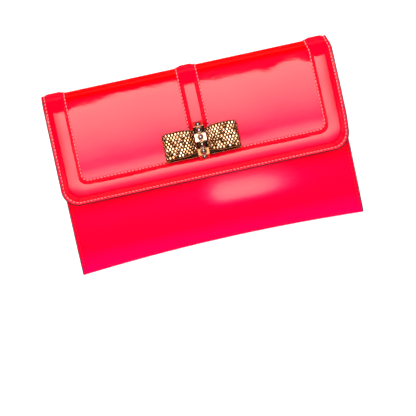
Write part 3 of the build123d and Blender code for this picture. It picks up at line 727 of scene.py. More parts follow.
band_stitches("border_stitches_outer", 1.95, 0.62, 0.41)
band_stitches("border_stitches_inner", 21.25, 0.42, 0.48)

# ---------------------------------------------------------------------------
# centre band
# ---------------------------------------------------------------------------
C_HALF = 10.0
_half = np.r_[np.linspace(0, 4.2, 7), np.linspace(4.6, 8.4, 14), np.linspace(8.6, 9.8, 8), 9.93, 10.0]
xs = np.r_[-_half[::-1], _half[1:]]


def centre_profile(x, t):
    ax = np.abs(x)
    rise = 1 - smooth(4.9, 8.9, ax)
    flat = smooth(46, 54, t)                  # the padding ends above the bow
    fold = smooth(91.5, 104, t)
    h = 0.75 - 0.5 * smooth(8.8, 10.0, ax) + 1.35 * rise * flat * (1 - 0.80 * fold) + 0.03 * (1 - (ax / 5) ** 2) * rise
    h = h - 0.16 * bump1(ax, 9.1, 0.5)
    edge = C_HALF - ax
    return h - 0.12 * np.exp(-edge / 0.12)


ts = np.r_[np.linspace(22.6, 84, 130), np.linspace(84, T_END, 60)[1:]]
top_rows = [on_flap(xs, t, centre_profile(xs, t)) for t in ts]
low_rows = [on_flap(xs, t, np.full(len(xs), 0.05)) for t in ts]
centre = sheet_solid("centre_band", np.array(top_rows), np.array(low_rows))
dress(centre, M_BAND)
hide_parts("flap_centre_band", "centre_padding")
bend_flap(centre)
for side, name in ((-1, "centre_stitches_left"), (1, "centre_stitches_right")):
    t = np.linspace(24.5, T_END - 3.0, 500)
    p = on_flap(np.full(500, side * 9.35), t, np.full(500, 0.42))
    n2 = flap_path.normal(t)
    up = np.stack([np.zeros(500), n2[:, 0], n2[:, 1]], -1)
    sew(name, p, up, M_THREAD_PAINTED_HIGHLIGHT, bend_flap)

# ---------------------------------------------------------------------------
# back: leather from the middle of the top fold down to the bottom
# ---------------------------------------------------------------------------


def bottom_y(x, y):
    """The bottom edge is bowed: near it every point moves down towards the corners."""
    w = smooth(10, TANGENT_Y, y)
    q = x / BODY_LOW
    return y - (1.3 + CORNER_DROP * q**2 - 1.2 * q) * w


def body_half(y):
    return BODY_LOW + (BODY_TOP - BODY_LOW) * np.clip((y + 86) / 168.0, 0, 1)


def on_back(q, s, h):
    """A point at a share q of the width, s along the back's section and h into the purse."""
    q, s, h = np.broadcast_arrays(np.asarray(q, float), np.asarray(s, float), np.asarray(h, float))
    c = back_path.at(s)
    n = back_path.normal(s)
    half = body_half(c[..., 0])
    x = q * half
    y = c[..., 0] - n[..., 0] * h
    z = c[..., 1] - n[..., 1] * h
    return np.stack([x, bottom_y(x, y), z], -1)


qs = np.linspace(-1, 1, 141)
ss = np.r_[np.linspace(0, 24, 60), np.linspace(24, back_path.length, 90)[1:]]
top_rows = np.array([on_back(qs, s, 0.0) for s in ss])
low_rows = np.array([on_back(qs, s, 1.15) for s in ss])
back = sheet_solid("back_leather", top_rows, low_rows)
dress(back, M_BODY)
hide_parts("back_panel", "back_board", "top_fold")
bend_back(back)
# lining inside the lower half of the fold and the back
ss2 = np.r_[np.linspace(0, 24, 40), np.linspace(24, back_path.length, 60)[1:]]
qs2 = np.linspace(-0.972, 0.972, 61)
inner_a = np.array([on_back(qs2, s, 2.0 + 0.5 * smooth(12, 26, s)) for s in ss2])
inner_b = np.array([on_back(qs2, s, 2.6 + 0.5 * smooth(12, 26, s)) for s in ss2])
cloth = sheet_solid("back_lining_cloth", inner_a, inner_b)
dress(cloth, M_LINING)
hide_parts("back_lining", "top_fold_lining")
bend_back(cloth)

# the bands' lower halves, round the fold to the back
WRAP_S = 19.0


def wrap(name, x0, x1, cad_node, s_end=WRAP_S):
    w = x1 - x0
    k = np.r_[0, 0.01, 0.03, np.linspace(0.06, 0.94, 23), 0.97, 0.99, 1.0]
    rows_a, rows_b = [], []
    s_list = np.linspace(0, s_end, 40)
    for s in s_list:
        d = k * w
        e = np.minimum(d, w - d)
        end = 1 - smooth(s_end - 5.5, s_end - 0.5, s)
        body = 0.95 + (1.0 * smooth(1.6, 6.0, e)) * end
        body = body * (0.35 + 0.65 * end) - 0.3 * bump1(e, 2.1, 0.7) * end - 0.25 * np.exp(-e / 0.25)
        body = np.minimum(body, 1.9)
        x = (x0 + d) / HALF
        c = back_path.at(np.full(len(k), s))
        n = back_path.normal(np.full(len(k), s))
        scale = flap_half_at(T_END, x)
        hh = np.maximum(body, 0.12)
        p = np.stack([x * scale, c[:, 0] + n[:, 0] * hh, c[:, 1] + n[:, 1] * hh], -1)
        p[:, 2] = np.maximum(p[:, 2], 0.05)
        b = np.stack([x * scale, c[:, 0] - n[:, 0] * 0.1, c[:, 1] - n[:, 1] * 0.1], -1)
        rows_a.append(p)
        rows_b.append(b)
    ob = sheet_solid(name, np.array(rows_a), np.array(rows_b))
    dress(ob, M_BAND)
    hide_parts(cad_node)
    bend_back(ob)
    return ob


wrap("left_band_end", -HALF, -HALF + BAND_W, "left_band_wrap", 13.0)
wrap("right_band_end", HALF - BAND_W, HALF, "right_band_wrap", 13.0)
wrap("centre_band_end", -C_HALF, C_HALF, "centre_band_wrap", 13.0)

# ---------------------------------------------------------------------------
# front wall: bottom fold and front panel in one sheet
# ---------------------------------------------------------------------------


def front_lift(x, y):
    """How far the front leather stands proud of a flat wall, in mm."""
    x = np.asarray(x, float)
    y = np.asarray(y, float)
    top = -56.6 - 0.02 * (x - 33)
    reach = np.where(x < 28, np.exp(-(((x - 28) / 34.0) ** 4)), np.exp(-(np.abs((x - 28) / 50.0) ** 2.6)))
    shape = np.where(y > top, np.exp(-(((y - top) / 22.5) ** 2)), np.exp(-(((y - top) / 14.5) ** 2)))
    full = (0.55 * (1 - (np.abs(x) / 150.0) ** 4) + 1.62 * reach) * shape
    pinch = -1.0 * smooth(112, 137, np.abs(x)) * smooth(-58, -80, y)
    w = 0.05 * np.sin(x / 34.0 + 1.2) * np.sin((y + 80) / 21.0) + 0.03 * np.sin(x / 15.0 + y / 19.0)
    return full + pinch + w * smooth(40, -10, y)


front_pts = [(TANGENT_Y - 4.7 * math.sin(a), 4.7 - 4.7 * math.cos(a)) for a in np.linspace(0, math.pi - math.atan(FRONT_K), 60)]
fy0, fz0 = front_pts[-1]
front_pts += [(y, fz0 + (y - fy0) * FRONT_K) for y in np.linspace(fy0, MOUTH_Y, 160)[1:]]
front_path = Path(front_pts)
FOLD_S = 4.7 * math.pi


# the section runs down round the fold and up the wall, so its outside is on the right
_n = front_path.normal(np.array([FOLD_S + 40]))
OUT = 1.0 if _n[0, 1] > 0 else -1.0


def on_front2(q, s, h):
    """h is into the purse."""
    q, s, h = np.broadcast_arrays(np.asarray(q, float), np.asarray(s, float), np.asarray(h, float))
    c = front_path.at(s)
    n = front_path.normal(s) * OUT
    y0 = c[..., 0]
    x = q * body_half(y0)
    pin = smooth(0.80, 1.0, np.abs(q))
    lift = front_lift(x, y0) * smooth(FOLD_S * 0.55, FOLD_S * 1.6, s)
    y = c[..., 0] + n[..., 0] * (lift - h)
    z = c[..., 1] + n[..., 1] * (lift - h)
    low = smooth(-50, -80, y0)
    z = z * (1 - 0.34 * pin * low * smooth(2.0, 9.0, z))
    return np.stack([x, bottom_y(x, y), z], -1)


def bend_front(ob):
    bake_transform(ob)
    return ob


qs = np.r_[np.linspace(-1, -0.93, 12), np.linspace(-0.93, 0.93, 150)[1:-1], np.linspace(0.93, 1, 12)]
ss = np.r_[np.linspace(0, FOLD_S, 40), np.linspace(FOLD_S, front_path.length, 130)[1:]]
a_rows = np.array([on_front2(qs, s, 0.0) for s in ss])
b_rows = np.array([on_front2(qs, s, 1.15) for s in ss])
front = sheet_solid("front_leather", a_rows, b_rows)
dress(front, M_BODY)
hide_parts("front_panel", "bottom_fold", "front_board")
bend_front(front)
qs2 = np.linspace(-0.93, 0.93, 61)
ss2 = np.r_[np.linspace(1.0, FOLD_S, 24), np.linspace(FOLD_S, front_path.length - 1.5, 70)[1:]]
a_rows = np.array([on_front2(qs2, s, 2.0 + 0.4 * smooth(5, 20, s)) for s in ss2])
b_rows = np.array([on_front2(qs2, s, 2.6 + 0.4 * smooth(5, 20, s)) for s in ss2])
cloth = sheet_solid("front_lining_cloth", a_rows, b_rows)
dress(cloth, M_LINING)
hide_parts("front_lining")
bend_front(cloth)
S_MOUTH = front_path.length

# painted side edges of the pouch, front and back
for side, tag in ((-1, "left"), (1, "right")):
    s = np.linspace(FOLD_S * 0.5, front_path.length - 0.5, 200)
    p = on_front2(np.full(200, side * 1.0), s, np.full(200, 0.55))
    up = np.tile([0, 0, 1.0], (200, 1))
    ob = tube(f"{tag}_front_edge", p, 0.62, 10, 1.0, None)
    dress(ob, M_EDGE)
    bend_front(ob)
    s = np.linspace(12.6, back_path.length, 260)
    p = on_back(np.full(260, side * 1.0), s, np.full(260, 0.62))
    ob = tube(f"{tag}_back_edge", p, 0.60, 10, 1.0, None)
    dress(ob, M_EDGE)
    bend_back(ob)
    # seam stitches beside the edge
    s = np.linspace(FOLD_S + 2, front_path.length - 3, 600)
    p = on_front2(np.full(600, side * (1 - 2.4 / 137)), s, np.full(600, 0.12))
    sew(f"{tag}_front_stitches", p, np.tile([0, 0, 1.0], (600, 1)), M_THREAD_BODY, bend_front, radius=0.34)

# ---------------------------------------------------------------------------
# gussets
# ---------------------------------------------------------------------------
for side, tag in ((-1, "left"), (1, "right")):
    ys = np.linspace(-80.0, 64.0, 80)
    rows_a, rows_b = [], []
    for y in ys:
        f = (y + 80) / 144.0
        depth = 5.0 + 9.0 * f
        zt = FRONT_LOW_Z + (y - TANGENT_Y) * FRONT_K - 1.25
        low = smooth(-50, -80, y)
        zt = zt * (1 - 0.34 * low)
        zb = 1.15
        x_out = 136.6
        u = np.linspace(0, 1, 41)
        zz = zb + (zt - zb) * u
        v = 1 - np.abs(2 * u - 1)
        inward = depth * (v ** 0.75) * (1 - 0.10 * np.sin(u * math.pi))
        xx = x_out - inward
        rows_a.append(np.stack([side * xx, bottom_y(xx, np.full(41, y)), zz], -1))
        rows_b.append(np.stack([side * (xx - 0.8), bottom_y(xx, np.full(41, y)), zz], -1))
    ob = sheet_solid(f"{tag}_gusset_leather", np.array(rows_a), np.array(rows_b))
    dress(ob, M_BODY)
    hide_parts(f"{tag}_gusset")
    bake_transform(ob)

# mouth binding, rounded over the edge of the front wall
mb_lo, mb_hi = cad("mouth_binding")
prof = []
L = front_path.length
for k in np.linspace(0, 1, 17):
    prof.append((L - 8 * (1 - k) - 0.6, 0.75))
for a in np.linspace(0, math.pi, 13)[1:]:
    prof.append((L - 0.6 + 1.9 * math.sin(a) * 0.55, 0.75 - 2.15 * (1 - math.cos(a))))
for k in np.linspace(0, 1, 17)[1:]:
    prof.append((L - 0.6 - 8 * k, -3.55))
prof = np.array(prof)
qs3 = np.linspace(-1, 1, 90) * (118.0 / 138.0)
wallv = np.array([0.0, 1.0, FRONT_K])
wallv /= np.linalg.norm(wallv)
walln = np.array([0.0, -FRONT_K, 1.0])
walln /= np.linalg.norm(walln)


def on_wall(x, along, h):
    """Along the wall from its path's end, h out of it, in the CAD's flat wall."""
    base = np.array([0.0, MOUTH_Y, FRONT_LOW_Z + (MOUTH_Y - TANGENT_Y) * FRONT_K])
    x, along, h = np.broadcast_arrays(np.asarray(x, float), np.asarray(along, float), np.asarray(h, float))
    p = base + along[..., None] * wallv + h[..., None] * walln
    p[..., 0] = x
    return p


rows_a = np.array([on_wall(np.full(len(prof), q * 138.0), prof[:, 0] - L, prof[:, 1]) for q in qs3])
rows_b = np.array([on_wall(np.full(len(prof), q * 138.0), np.minimum(prof[:, 0] - L, -0.7), np.clip(prof[:, 1], -2.85, 0.05)) for q in qs3])
ob = sheet_solid("mouth_binding_leather", rows_a, rows_b)
dress(ob, M_BODY)
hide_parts("mouth_binding")
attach(ob, "front_wall")
line = np.linspace(-116, 116, 900)
sew("mouth_stitches", on_wall(line, np.full(900, -6.6), np.full(900, 0.72)), np.tile(walln, (900, 1)), M_THREAD_BODY, lambda ob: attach(ob, "front_wall"))

# slip pocket: a cloth patch with a hem
sp_lo, sp_hi = cad("slip_pocket")
nx, ny = 90, 50
px = np.linspace(sp_lo[0], sp_hi[0], nx)
py = np.linspace(sp_lo[1], sp_hi[1], ny)
X, Y = np.meshgrid(px, py, indexing="ij")
e = np.minimum.reduce([X - px[0], px[-1] - X, Y - py[0] + 100 * 0])
sag = 0.22 * smooth(0, 6, e) * np.sin(X / 23.0 + 0.7) * smooth(py[0], py[-1], Y)
hem = 0.3 * smooth(py[-1] - 7.5, py[-1] - 7.0, Y)
top = np.stack([X, Y, sp_hi[2] + 0.15 + sag + hem], -1)
bot = np.stack([X, Y, np.full_like(X, sp_lo[2] + 0.15)], -1)
ob = sheet_solid("slip_pocket_cloth", top, bot)
dress(ob, M_LINING)
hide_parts("slip_pocket")
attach(ob, "pouch")

# ---------------------------------------------------------------------------
# bow
# ---------------------------------------------------------------------------
bl_lo, bl_hi = cad("bow_right_loop")
BOW_Y = (bl_lo[1] + bl_hi[1]) / 2
BOW_T = (BOW_Y - FREE_Y) / math.cos(math.atan(FLAP_K))
W0 = SKIN + 1.0 + 0.05 + 0.8 - SKIN          # the loops' foot above the flap's leather
BOW_HALF = bl_hi[0]
STRAP = 26.0


def on_bow(x, v, w):
    """x across, v up the flap from the bow's middle, w above the flap's leather (all mm)."""
    x, v, w = np.broadcast_arrays(np.asarray(x, float), np.asarray(v, float), np.asarray(w, float))
    ct = math.cos(math.atan(FLAP_K))
    st = math.sin(math.atan(FLAP_K))
    y = BOW_Y + v * ct - w * st
    z = z_panel(BOW_Y) + v * st + w * ct
    return np.stack([x, y, z], -1)


loop_pts = np.vstack([
    bezier((4.6, W0 + 2.6), (8.0, W0 + 3.6), (11.5, W0 + 6.6), (17.5, W0 + 7.0), 40),
    bezier((17.5, W0 + 7.0), (23.0, W0 + 7.35), (28.0, W0 + 7.3), (32.0, W0 + 6.9), 30)[1:],
    bezier((32.0, W0 + 6.9), (37.6, W0 + 6.4), (37.6, W0 + 0.9), (32.0, W0 + 0.5), 40)[1:],
    bezier((32.0, W0 + 0.5), (24.0, W0 + 0.1), (14.0, W0 + 0.3), (5.0, W0 + 0.7), 40)[1:],
])
loop_path = Path(loop_pts)
TURN_A = float(np.interp(31.0, loop_path.p[:70, 0], loop_path.s[:70]))
TURN_B = TURN_A + 9.0


def strap_half(s):
    """Half the strap's width: gathered a little towards the knot."""
    k = smooth(0, 14, s)
    return 10.9 + 2.1 * k


def drop(s):
    """The loop's under side hangs a little lower than its face."""
    return -2.3 * smooth(TURN_A, TURN_B, s)


def gather(s, v):
    """Soft folds that run into the knot."""
    k = 1 - smooth(2, 15, s)
    return 0.45 * k * np.sin(v * 0.62 + 0.7)


def cell_template():
    """A scale with a nearly flat top and sloping shoulders, 1 wide and 1 high each way."""
    na = 16
    rings = [(0.0, 0.0, 1.0), (0.40, 0.55, 0.995), (0.58, 0.80, 0.975), (0.66, 0.86, 0.89), (0.80, 0.92, 0.62), (0.93, 0.97, 0.28), (1.0, 1.0, -0.05), (0.97, 0.97, -0.6)]
    vs = [(0, 0, 1.0)]
    for rx, ry, z in rings[1:]:
        for j in range(na):
            a = 2 * np.pi * (j + 0.5) / na
            c, s_ = np.cos(a), np.sin(a)
            m = 1.0 / (abs(c) ** 2.1 + abs(s_) ** 2.1) ** (1 / 2.1)
            vs.append((c * m * rx, s_ * m * ry, z))
    f = []
    for j in range(na):
        f.append((0, 1 + j, 1 + (j + 1) % na))
    n = len(rings) - 1
    for i in range(n - 1):
        for j in range(na):
            a, b = 1 + i * na + j, 1 + i * na + (j + 1) % na
            f.append((a, a + na, b + na, b))
    f.append(tuple(1 + (n - 1) * na + j for j in range(na)))
    return np.array(vs), f


CELL, CELL_F = cell_template()
PITCH_X, PITCH_V = 3.1, 2.62


def build_loop(side, tag):
    # near-black strap behind the scales: painted shade that makes the gaps and the loop's underside read black
    sN = 110
    s = np.linspace(0, loop_path.length, sN)
    k = np.linspace(-1, 1, 25)
    rows_a, rows_b = [], []
    for si in s:
        c = loop_path.at(si)
        n = loop_path.normal(si)
        v = k * (strap_half(si) - 0.7) + drop(si)
        g = gather(si, v)
        x = c[0] + n[0] * (g - 0.25)
        w = c[1] + n[1] * (g - 0.25)
        rows_a.append(on_bow(side * x, v, w))
        x = c[0] + n[0] * (g - 0.85)
        w = c[1] + n[1] * (g - 0.85)
        rows_b.append(on_bow(side * x, v, w))
    strap = sheet_solid(f"bow_{tag}_strap", np.array(rows_a), np.array(rows_b))
    dress(strap, M_MESH_SHADE)
    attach(strap, "flap")
    # scales
    verts, faces = [], []
    base = 0
    rows = 9
    count = int(loop_path.length / (PITCH_X / 2))
    for i in range(count + 1):
        si = 0.6 + i * PITCH_X / 2
        if si > loop_path.length - 0.8:
            continue
        c = loop_path.at(si)
        t = loop_path.tangent(si)
        n = loop_path.normal(si)
        vmax = strap_half(si)
        sc = vmax / 13.0
        for r in range(-rows, rows + 1):
            if (r + i) % 2:
                continue
            v = r * PITCH_V * sc
            if abs(v) > vmax - 0.9:
                continue
            jit = 0.05
            v2 = v + rng.uniform(-jit, jit)
            s2 = rng.uniform(-jit, jit)
            loc = CELL * np.array([1.36, 1.62 * sc, 0.66])
            lx, ly, lz = loc[:, 0], loc[:, 1], loc[:, 2]
            lean = math.radians(rng.normal(0.0, 3.2))
            nod = math.radians(rng.normal(0.0, 3.2))
            lz = lz + lx * math.tan(lean) + ly * math.tan(nod)
            # the scales lie flatter than the strap they hang on
            face = 1.0 if n[1] >= 0 else -1.0
            ang = math.atan2(n[0], n[1] * face)
            ang2 = ang * 0.45 if abs(ang) < 1.1 else ang
            tn = np.array([math.sin(ang2), math.cos(ang2) * face])
            tt = np.array([tn[1], -tn[0]])
            if tt @ t < 0:
                tt = -tt
            g = gather(si, v2)
            dx = lx + s2
            px = c[0] + tt[0] * dx + tn[0] * lz + n[0] * g
            pw = c[1] + tt[1] * dx + tn[1] * lz + n[1] * g
            pv = v2 + ly + drop(si)
            verts.append(on_bow(side * px, pv, pw))
            faces += [tuple(q + base for q in f) for f in CELL_F]
            base += len(CELL)
    # links that finish the two long edges
    lon = np.linspace(0, 2 * np.pi, 10, endpoint=False)
    lat = np.linspace(-np.pi / 2, np.pi / 2, 7)[1:-1]
    ball = [(0, 0, -1.0)] + [(np.cos(b) * np.cos(a), np.cos(b) * np.sin(a), np.sin(b)) for b in lat for a in lon] + [(0, 0, 1.0)]
    ball = np.array(ball)
    ball_f = [(0, 1 + (j + 1) % 10, 1 + j) for j in range(10)]
    for i in range(4):
        for j in range(10):
            a, b = 1 + i * 10 + j, 1 + i * 10 + (j + 1) % 10
            ball_f.append((a, b, b + 10, a + 10))
    ball_f += [(41 + j, 41 + (j + 1) % 10, 51) for j in range(10)]
    for si in np.arange(1.0, loop_path.length - 1.0, PITCH_X / 2):
        c = loop_path.at(si)
        t = loop_path.tangent(si)
        n = loop_path.normal(si)
        for e in (-1, 1):
            v0 = e * (strap_half(si) - 0.35)
            g = gather(si, v0) - 0.35
            loc = ball * np.array([0.86, 0.42, 0.62])
            px = c[0] + t[0] * loc[:, 0] + n[0] * (loc[:, 2] + g)
            pw = c[1] + t[1] * loc[:, 0] + n[1] * (loc[:, 2] + g)
            verts.append(on_bow(side * px, v0 + loc[:, 1] + drop(si), pw))
            faces += [tuple(q + base for q in f) for f in ball_f]
            base += len(ball)
    mesh = make_object(f"bow_{tag}_mesh", np.vstack(verts), faces)
    dress(mesh, M_MESH)
    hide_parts(f"bow_{tag}_loop")
    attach(mesh, "flap")
    return mesh


# the loop's section runs outwards on top, so its outside is on the left
build_loop(1, "right")
build_loop(-1, "left")

# knot: bevelled facets and domed studs in collars
kb_lo, kb_hi = cad("bow_knot_band")
FACET, NF = 7.45, 6
slopes = [math.radians(a) for a in (55, 35, 15, -2.2, -22, -52)]
klen = sum(FACET * math.cos(a) for a in slopes)
k0 = -4.7 - BOW_Y
kw = 2.4
chain = [(k0, kw)]
for a_ in slopes:
    chain.append((chain[-1][0] + FACET * math.cos(a_), chain[-1][1] + FACET * math.sin(a_)))
KN_HALF = kb_hi[0]


def rounded_block(sx, sy, sz, r, n=4):
    """A block with rounded edges, centred in x and y, with its top at z 0."""
    bm = bmesh.new()
    bmesh.ops.create_cube(bm, size=1.0)
    bmesh.ops.scale(bm, verts=bm.verts, vec=(sx, sy, sz))
    bmesh.ops.translate(bm, verts=bm.verts, vec=(0, 0, -sz / 2))
    bmesh.ops.bevel(bm, geom=list(bm.edges), offset=r, segments=n, profile=0.5, affect="EDGES")
    bm.verts.ensure_lookup_table()
    v = np.array([x.co[:] for x in bm.verts])
    f = [tuple(q.index for q in face.verts) for face in bm.faces]
    bm.free()
    return v, f


def lathe(profile, n=40):
    prof = np.array(profile, float)
    ang = np.linspace(0, 2 * np.pi, n, endpoint=False)
    vs = np.stack([
        np.outer(prof[:, 0], np.cos(ang)),
        np.outer(prof[:, 0], np.sin(ang)),
        np.repeat(prof[:, 1][:, None], n, 1),
    ], -1).reshape(-1, 3)
    f = grid_faces(len(prof), n, wrap_v=True)
    f.append(tuple(range(n))[::-1])
    vs = np.vstack([vs, [0, 0, prof[-1, 1]]])
    last = (len(prof) - 1) * n
    for j in range(n):
        f.append((last + j, last + (j + 1) % n, len(vs) - 1))
    return vs, f


def place(v, mid, slope, w_scale=1.0):
    """Local x across, y along the facet, z out of it."""
    y = v[:, 1] * math.cos(slope) - v[:, 2] * math.sin(slope)
    z = v[:, 1] * math.sin(slope) + v[:, 2] * math.cos(slope)
    return on_bow(v[:, 0] * w_scale, mid[0] + y, mid[1] + z)


fv, ff, sv, sf, cv, cf = [], [], [], [], [], []
fb = sb = cb = 0
# a dome that is gently crowned in the middle and turns down quickly at its rim
DOME_R, DOME_TOP = 2.65, 0.72
rr = np.linspace(0, DOME_R, 34)
lean_ = np.where(rr < DOME_TOP, 12.0 * rr / DOME_TOP, 12.0 + 58.0 * (np.clip(rr - DOME_TOP, 0, None) / (DOME_R - DOME_TOP)) ** 1.5)
down = np.concatenate([[0], np.cumsum(np.tan(np.radians((lean_[1:] + lean_[:-1]) / 2)) * np.diff(rr))])
dome = [(DOME_R, 0.0), (DOME_R, 0.30)] + [(max(r_, 0.05), 0.35 + down[-1] - d_) for r_, d_ in zip(rr[::-1], down[::-1])]
collar = [(3.3, 0.0), (3.38, 0.25)]
for a_ in np.linspace(0, math.pi, 12):
    collar.append((3.02 + 0.36 * math.cos(a_), 0.40 + 0.36 * math.sin(a_)))
collar.append((2.60, 0.1))
collar.append((0.5, 0.1))
for i, a_ in enumerate(slopes):
    mid = ((chain[i][0] + chain[i + 1][0]) / 2, (chain[i][1] + chain[i + 1][1]) / 2)
    taper = 0.90 if i == 0 else (0.95 if i == NF - 1 else 1.0)
    v, f = rounded_block(2 * KN_HALF * taper, FACET - 0.28, 1.35, 0.32)
    fv.append(place(v, mid, a_))
    ff += [tuple(q + fb for q in g) for g in f]
    fb += len(v)
    v, f = lathe(dome)
    sv.append(place(v, mid, a_))
    sf += [tuple(q + sb for q in g) for g in f]
    sb += len(v)
    v, f = lathe(collar)
    cv.append(place(v, mid, a_))
    cf += [tuple(q + cb for q in g) for g in f]
    cb += len(v)
knot = make_object("bow_knot_facets", np.vstack(fv), ff, smooth_faces=False)
dress(knot, M_GOLD)
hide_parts("bow_knot_band")
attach(knot, "flap")
m = knot.modifiers.new("wn", "WEIGHTED_NORMAL")
for p in knot.data.polygons:
    p.use_smooth = True
studs = make_object("bow_knot_domes", np.vstack(sv), sf)
dress(studs, M_STUD)
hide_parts("bow_knot_studs")
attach(studs, "flap")
rings = make_object("bow_knot_collars", np.vstack(cv), cf)
dress(rings, M_GOLD)
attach(rings, "flap")

# ---------------------------------------------------------------------------
# CAD nodes that stay
# ---------------------------------------------------------------------------
for node, mat in {
    "bow_base_plate": M_GOLD,
    "bow_post_washers": M_STEEL,
    "snap_socket_cover": M_SNAP,
    "snap_socket_base": M_SNAP,
    "snap_socket_washer": M_STEEL,
    "snap_socket_magnet": M_STEEL,
    "snap_stud": M_SNAP,
    "snap_stud_washer": M_STEEL,
}.items():
    ob = frame["nodes"][node]
    ob.data.materials.clear()
    ob.data.materials.append(mat)


# ---------------------------------------------------------------------------
# floor, lights, camera
# ---------------------------------------------------------------------------
scene = bpy.context.scene
scene.view_settings.view_transform = "Standard"
scene.view_settings.look = "None"
scene.view_settings.exposure = 0.0
scene.view_settings.gamma = 1.0

me = bpy.data.meshes.new("floor")
me.from_pydata([(-4, -4, -0.0004), (4, -4, -0.0004), (4, 4, -0.0004), (-4, 4, -0.0004)], [], [(0, 1, 2, 3)])
floor = bpy.data.objects.new("floor", me)
scene.collection.objects.link(floor)
fm = Nodes("floor_white")
fm.link(fm.ramp(fm.noise(2.0), [(0.3, (0.93, 0.93, 0.93)), (0.7, (0.95, 0.95, 0.95))]), fm.b.inputs["Base Color"])
fm.set(Roughness=0.9, Specular_IOR_Level=0.0)
fm.b.inputs["Emission Color"].default_value = (1, 1, 1, 1)
fm.b.inputs["Emission Strength"].default_value = 0.38
floor.visible_glossy = False
me.materials.append(fm.m)

world = bpy.data.worlds.new("studio")
world.use_nodes = True
world.node_tree.nodes["Background"].inputs[0].default_value = (1, 1, 1, 1)
world.node_tree.nodes["Background"].inputs[1].default_value = 0.012
scene.world = world


def area(name, loc, target, sx, sy, power, spread=math.pi, color=(1, 1, 1)):
    li = bpy.data.lights.new(name, "AREA")
    li.shape = "RECTANGLE"
    li.size, li.size_y = sx, sy
    li.energy = power
    li.spread = spread
    li.color = color
    ob = bpy.data.objects.new(name, li)
    ob.location = loc
    d = Vector(target) - Vector(loc)
    ob.rotation_euler = d.to_track_quat("-Z", "Y").to_euler()
    ob.visible_glossy = False
    scene.collection.objects.link(ob)
    return ob


for name, loc, sx, sy, power in (
    ("side_left", (-1.7, 0.2, 1.15), 1.0, 1.2, 34),
    ("side_right", (1.7, 0.1, 1.15), 1.0, 1.2, 34),
    ("side_top", (0.1, 1.9, 1.25), 1.4, 0.9, 30),
    ("side_low", (-0.1, -1.9, 1.25), 1.4, 0.9, 30),
):
    area(name, loc, (0, 0, 0), sx, sy, power)



metal_parts = bpy.data.collections.new("metal_parts")
for ob in list(bpy.data.objects):
    if ob.type == "MESH" and any(m and m.name.startswith(("rose_gold", "mesh_shadow", "snap_plate", "magnet_grey")) for m in ob.data.materials):
        metal_parts.objects.link(ob)


card_parts = bpy.data.collections.new("card_parts")
for ob in list(metal_parts.objects):
    if ob.name != "bow_knot_domes":
        card_parts.objects.link(ob)

padded_leather = bpy.data.collections.new("padded_leather")
wall_leather = bpy.data.collections.new("wall_leather")
for ob in list(bpy.data.objects):
    if ob.type == "MESH" and ob.name not in metal_parts.objects and ob.name != "floor":
        wall = ob.name.startswith(("front_leather", "back_leather", "left_gusset", "right_gusset"))
        (wall_leather if wall else padded_leather).objects.link(ob)


def only_on(ob, parts):
    """This card lights and shows in these pieces alone."""
    ob.light_linking.receiver_collection = parts


def only_metal(ob):
    """This card lights and shows in the metal parts alone."""
    ob.light_linking.receiver_collection = metal_parts
    return ob


def glow_card(name, verts, stops, axis, lo, hi, side_fade=None):
    """A glowing card whose colour runs along one axis; an optional soft fade along x."""
    me = bpy.data.meshes.new(name)
    me.from_pydata(verts, [], [(0, 1, 2, 3)])
    ob = bpy.data.objects.new(name, me)
    scene.collection.objects.link(ob)
    m = bpy.data.materials.new(name + "_glow")
    m.use_nodes = True
    nt = m.node_tree
    for n in list(nt.nodes):
        nt.nodes.remove(n)
    out = nt.nodes.new("ShaderNodeOutputMaterial")
    em = nt.nodes.new("ShaderNodeEmission")
    tc = nt.nodes.new("ShaderNodeTexCoord")
    sep = nt.nodes.new("ShaderNodeSeparateXYZ")
    nt.links.new(tc.outputs["Object"], sep.inputs[0])
    mr = nt.nodes.new("ShaderNodeMapRange")
    mr.inputs["From Min"].default_value = lo
    mr.inputs["From Max"].default_value = hi
    nt.links.new(sep.outputs[axis], mr.inputs["Value"])
    cr = nt.nodes.new("ShaderNodeValToRGB")
    top = max(max(c) for _, c in stops)
    els = cr.color_ramp.elements
    while len(els) < len(stops):
        els.new(0.5)
    for i, (p, c) in enumerate(stops):
        els[i].position = p
        els[i].color = (c[0] / top, c[1] / top, c[2] / top, 1)
    nt.links.new(mr.outputs[0], cr.inputs[0])
    nt.links.new(cr.outputs[0], em.inputs["Color"])
    if side_fade:
        x0, x1, soft = side_fade
        ma = nt.nodes.new("ShaderNodeMapRange")
        ma.inputs["From Min"].default_value = x0
        ma.inputs["From Max"].default_value = x0 + soft
        mb = nt.nodes.new("ShaderNodeMapRange")
        mb.inputs["From Min"].default_value = x1
        mb.inputs["From Max"].default_value = x1 - soft
        for q in (ma, mb):
            nt.links.new(sep.outputs["X"], q.inputs["Value"])
        mm = nt.nodes.new("ShaderNodeMath")
        mm.operation = "MULTIPLY"
        nt.links.new(ma.outputs[0], mm.inputs[0])
        nt.links.new(mb.outputs[0], mm.inputs[1])
        m2 = nt.nodes.new("ShaderNodeMath")
        m2.operation = "MULTIPLY"
        m2.inputs[1].default_value = top
        nt.links.new(mm.outputs[0], m2.inputs[0])
        nt.links.new(m2.outputs[0], em.inputs["Strength"])
    else:
        em.inputs["Strength"].default_value = top
    clear = nt.nodes.new("ShaderNodeBsdfTransparent")
    both = nt.nodes.new("ShaderNodeAddShader")
    nt.links.new(em.outputs[0], both.inputs[0])
    nt.links.new(clear.outputs[0], both.inputs[1])
    nt.links.new(both.outputs[0], out.inputs[0])
    me.materials.append(m)
    ob.visible_camera = False
    ob.visible_shadow = False
    return ob


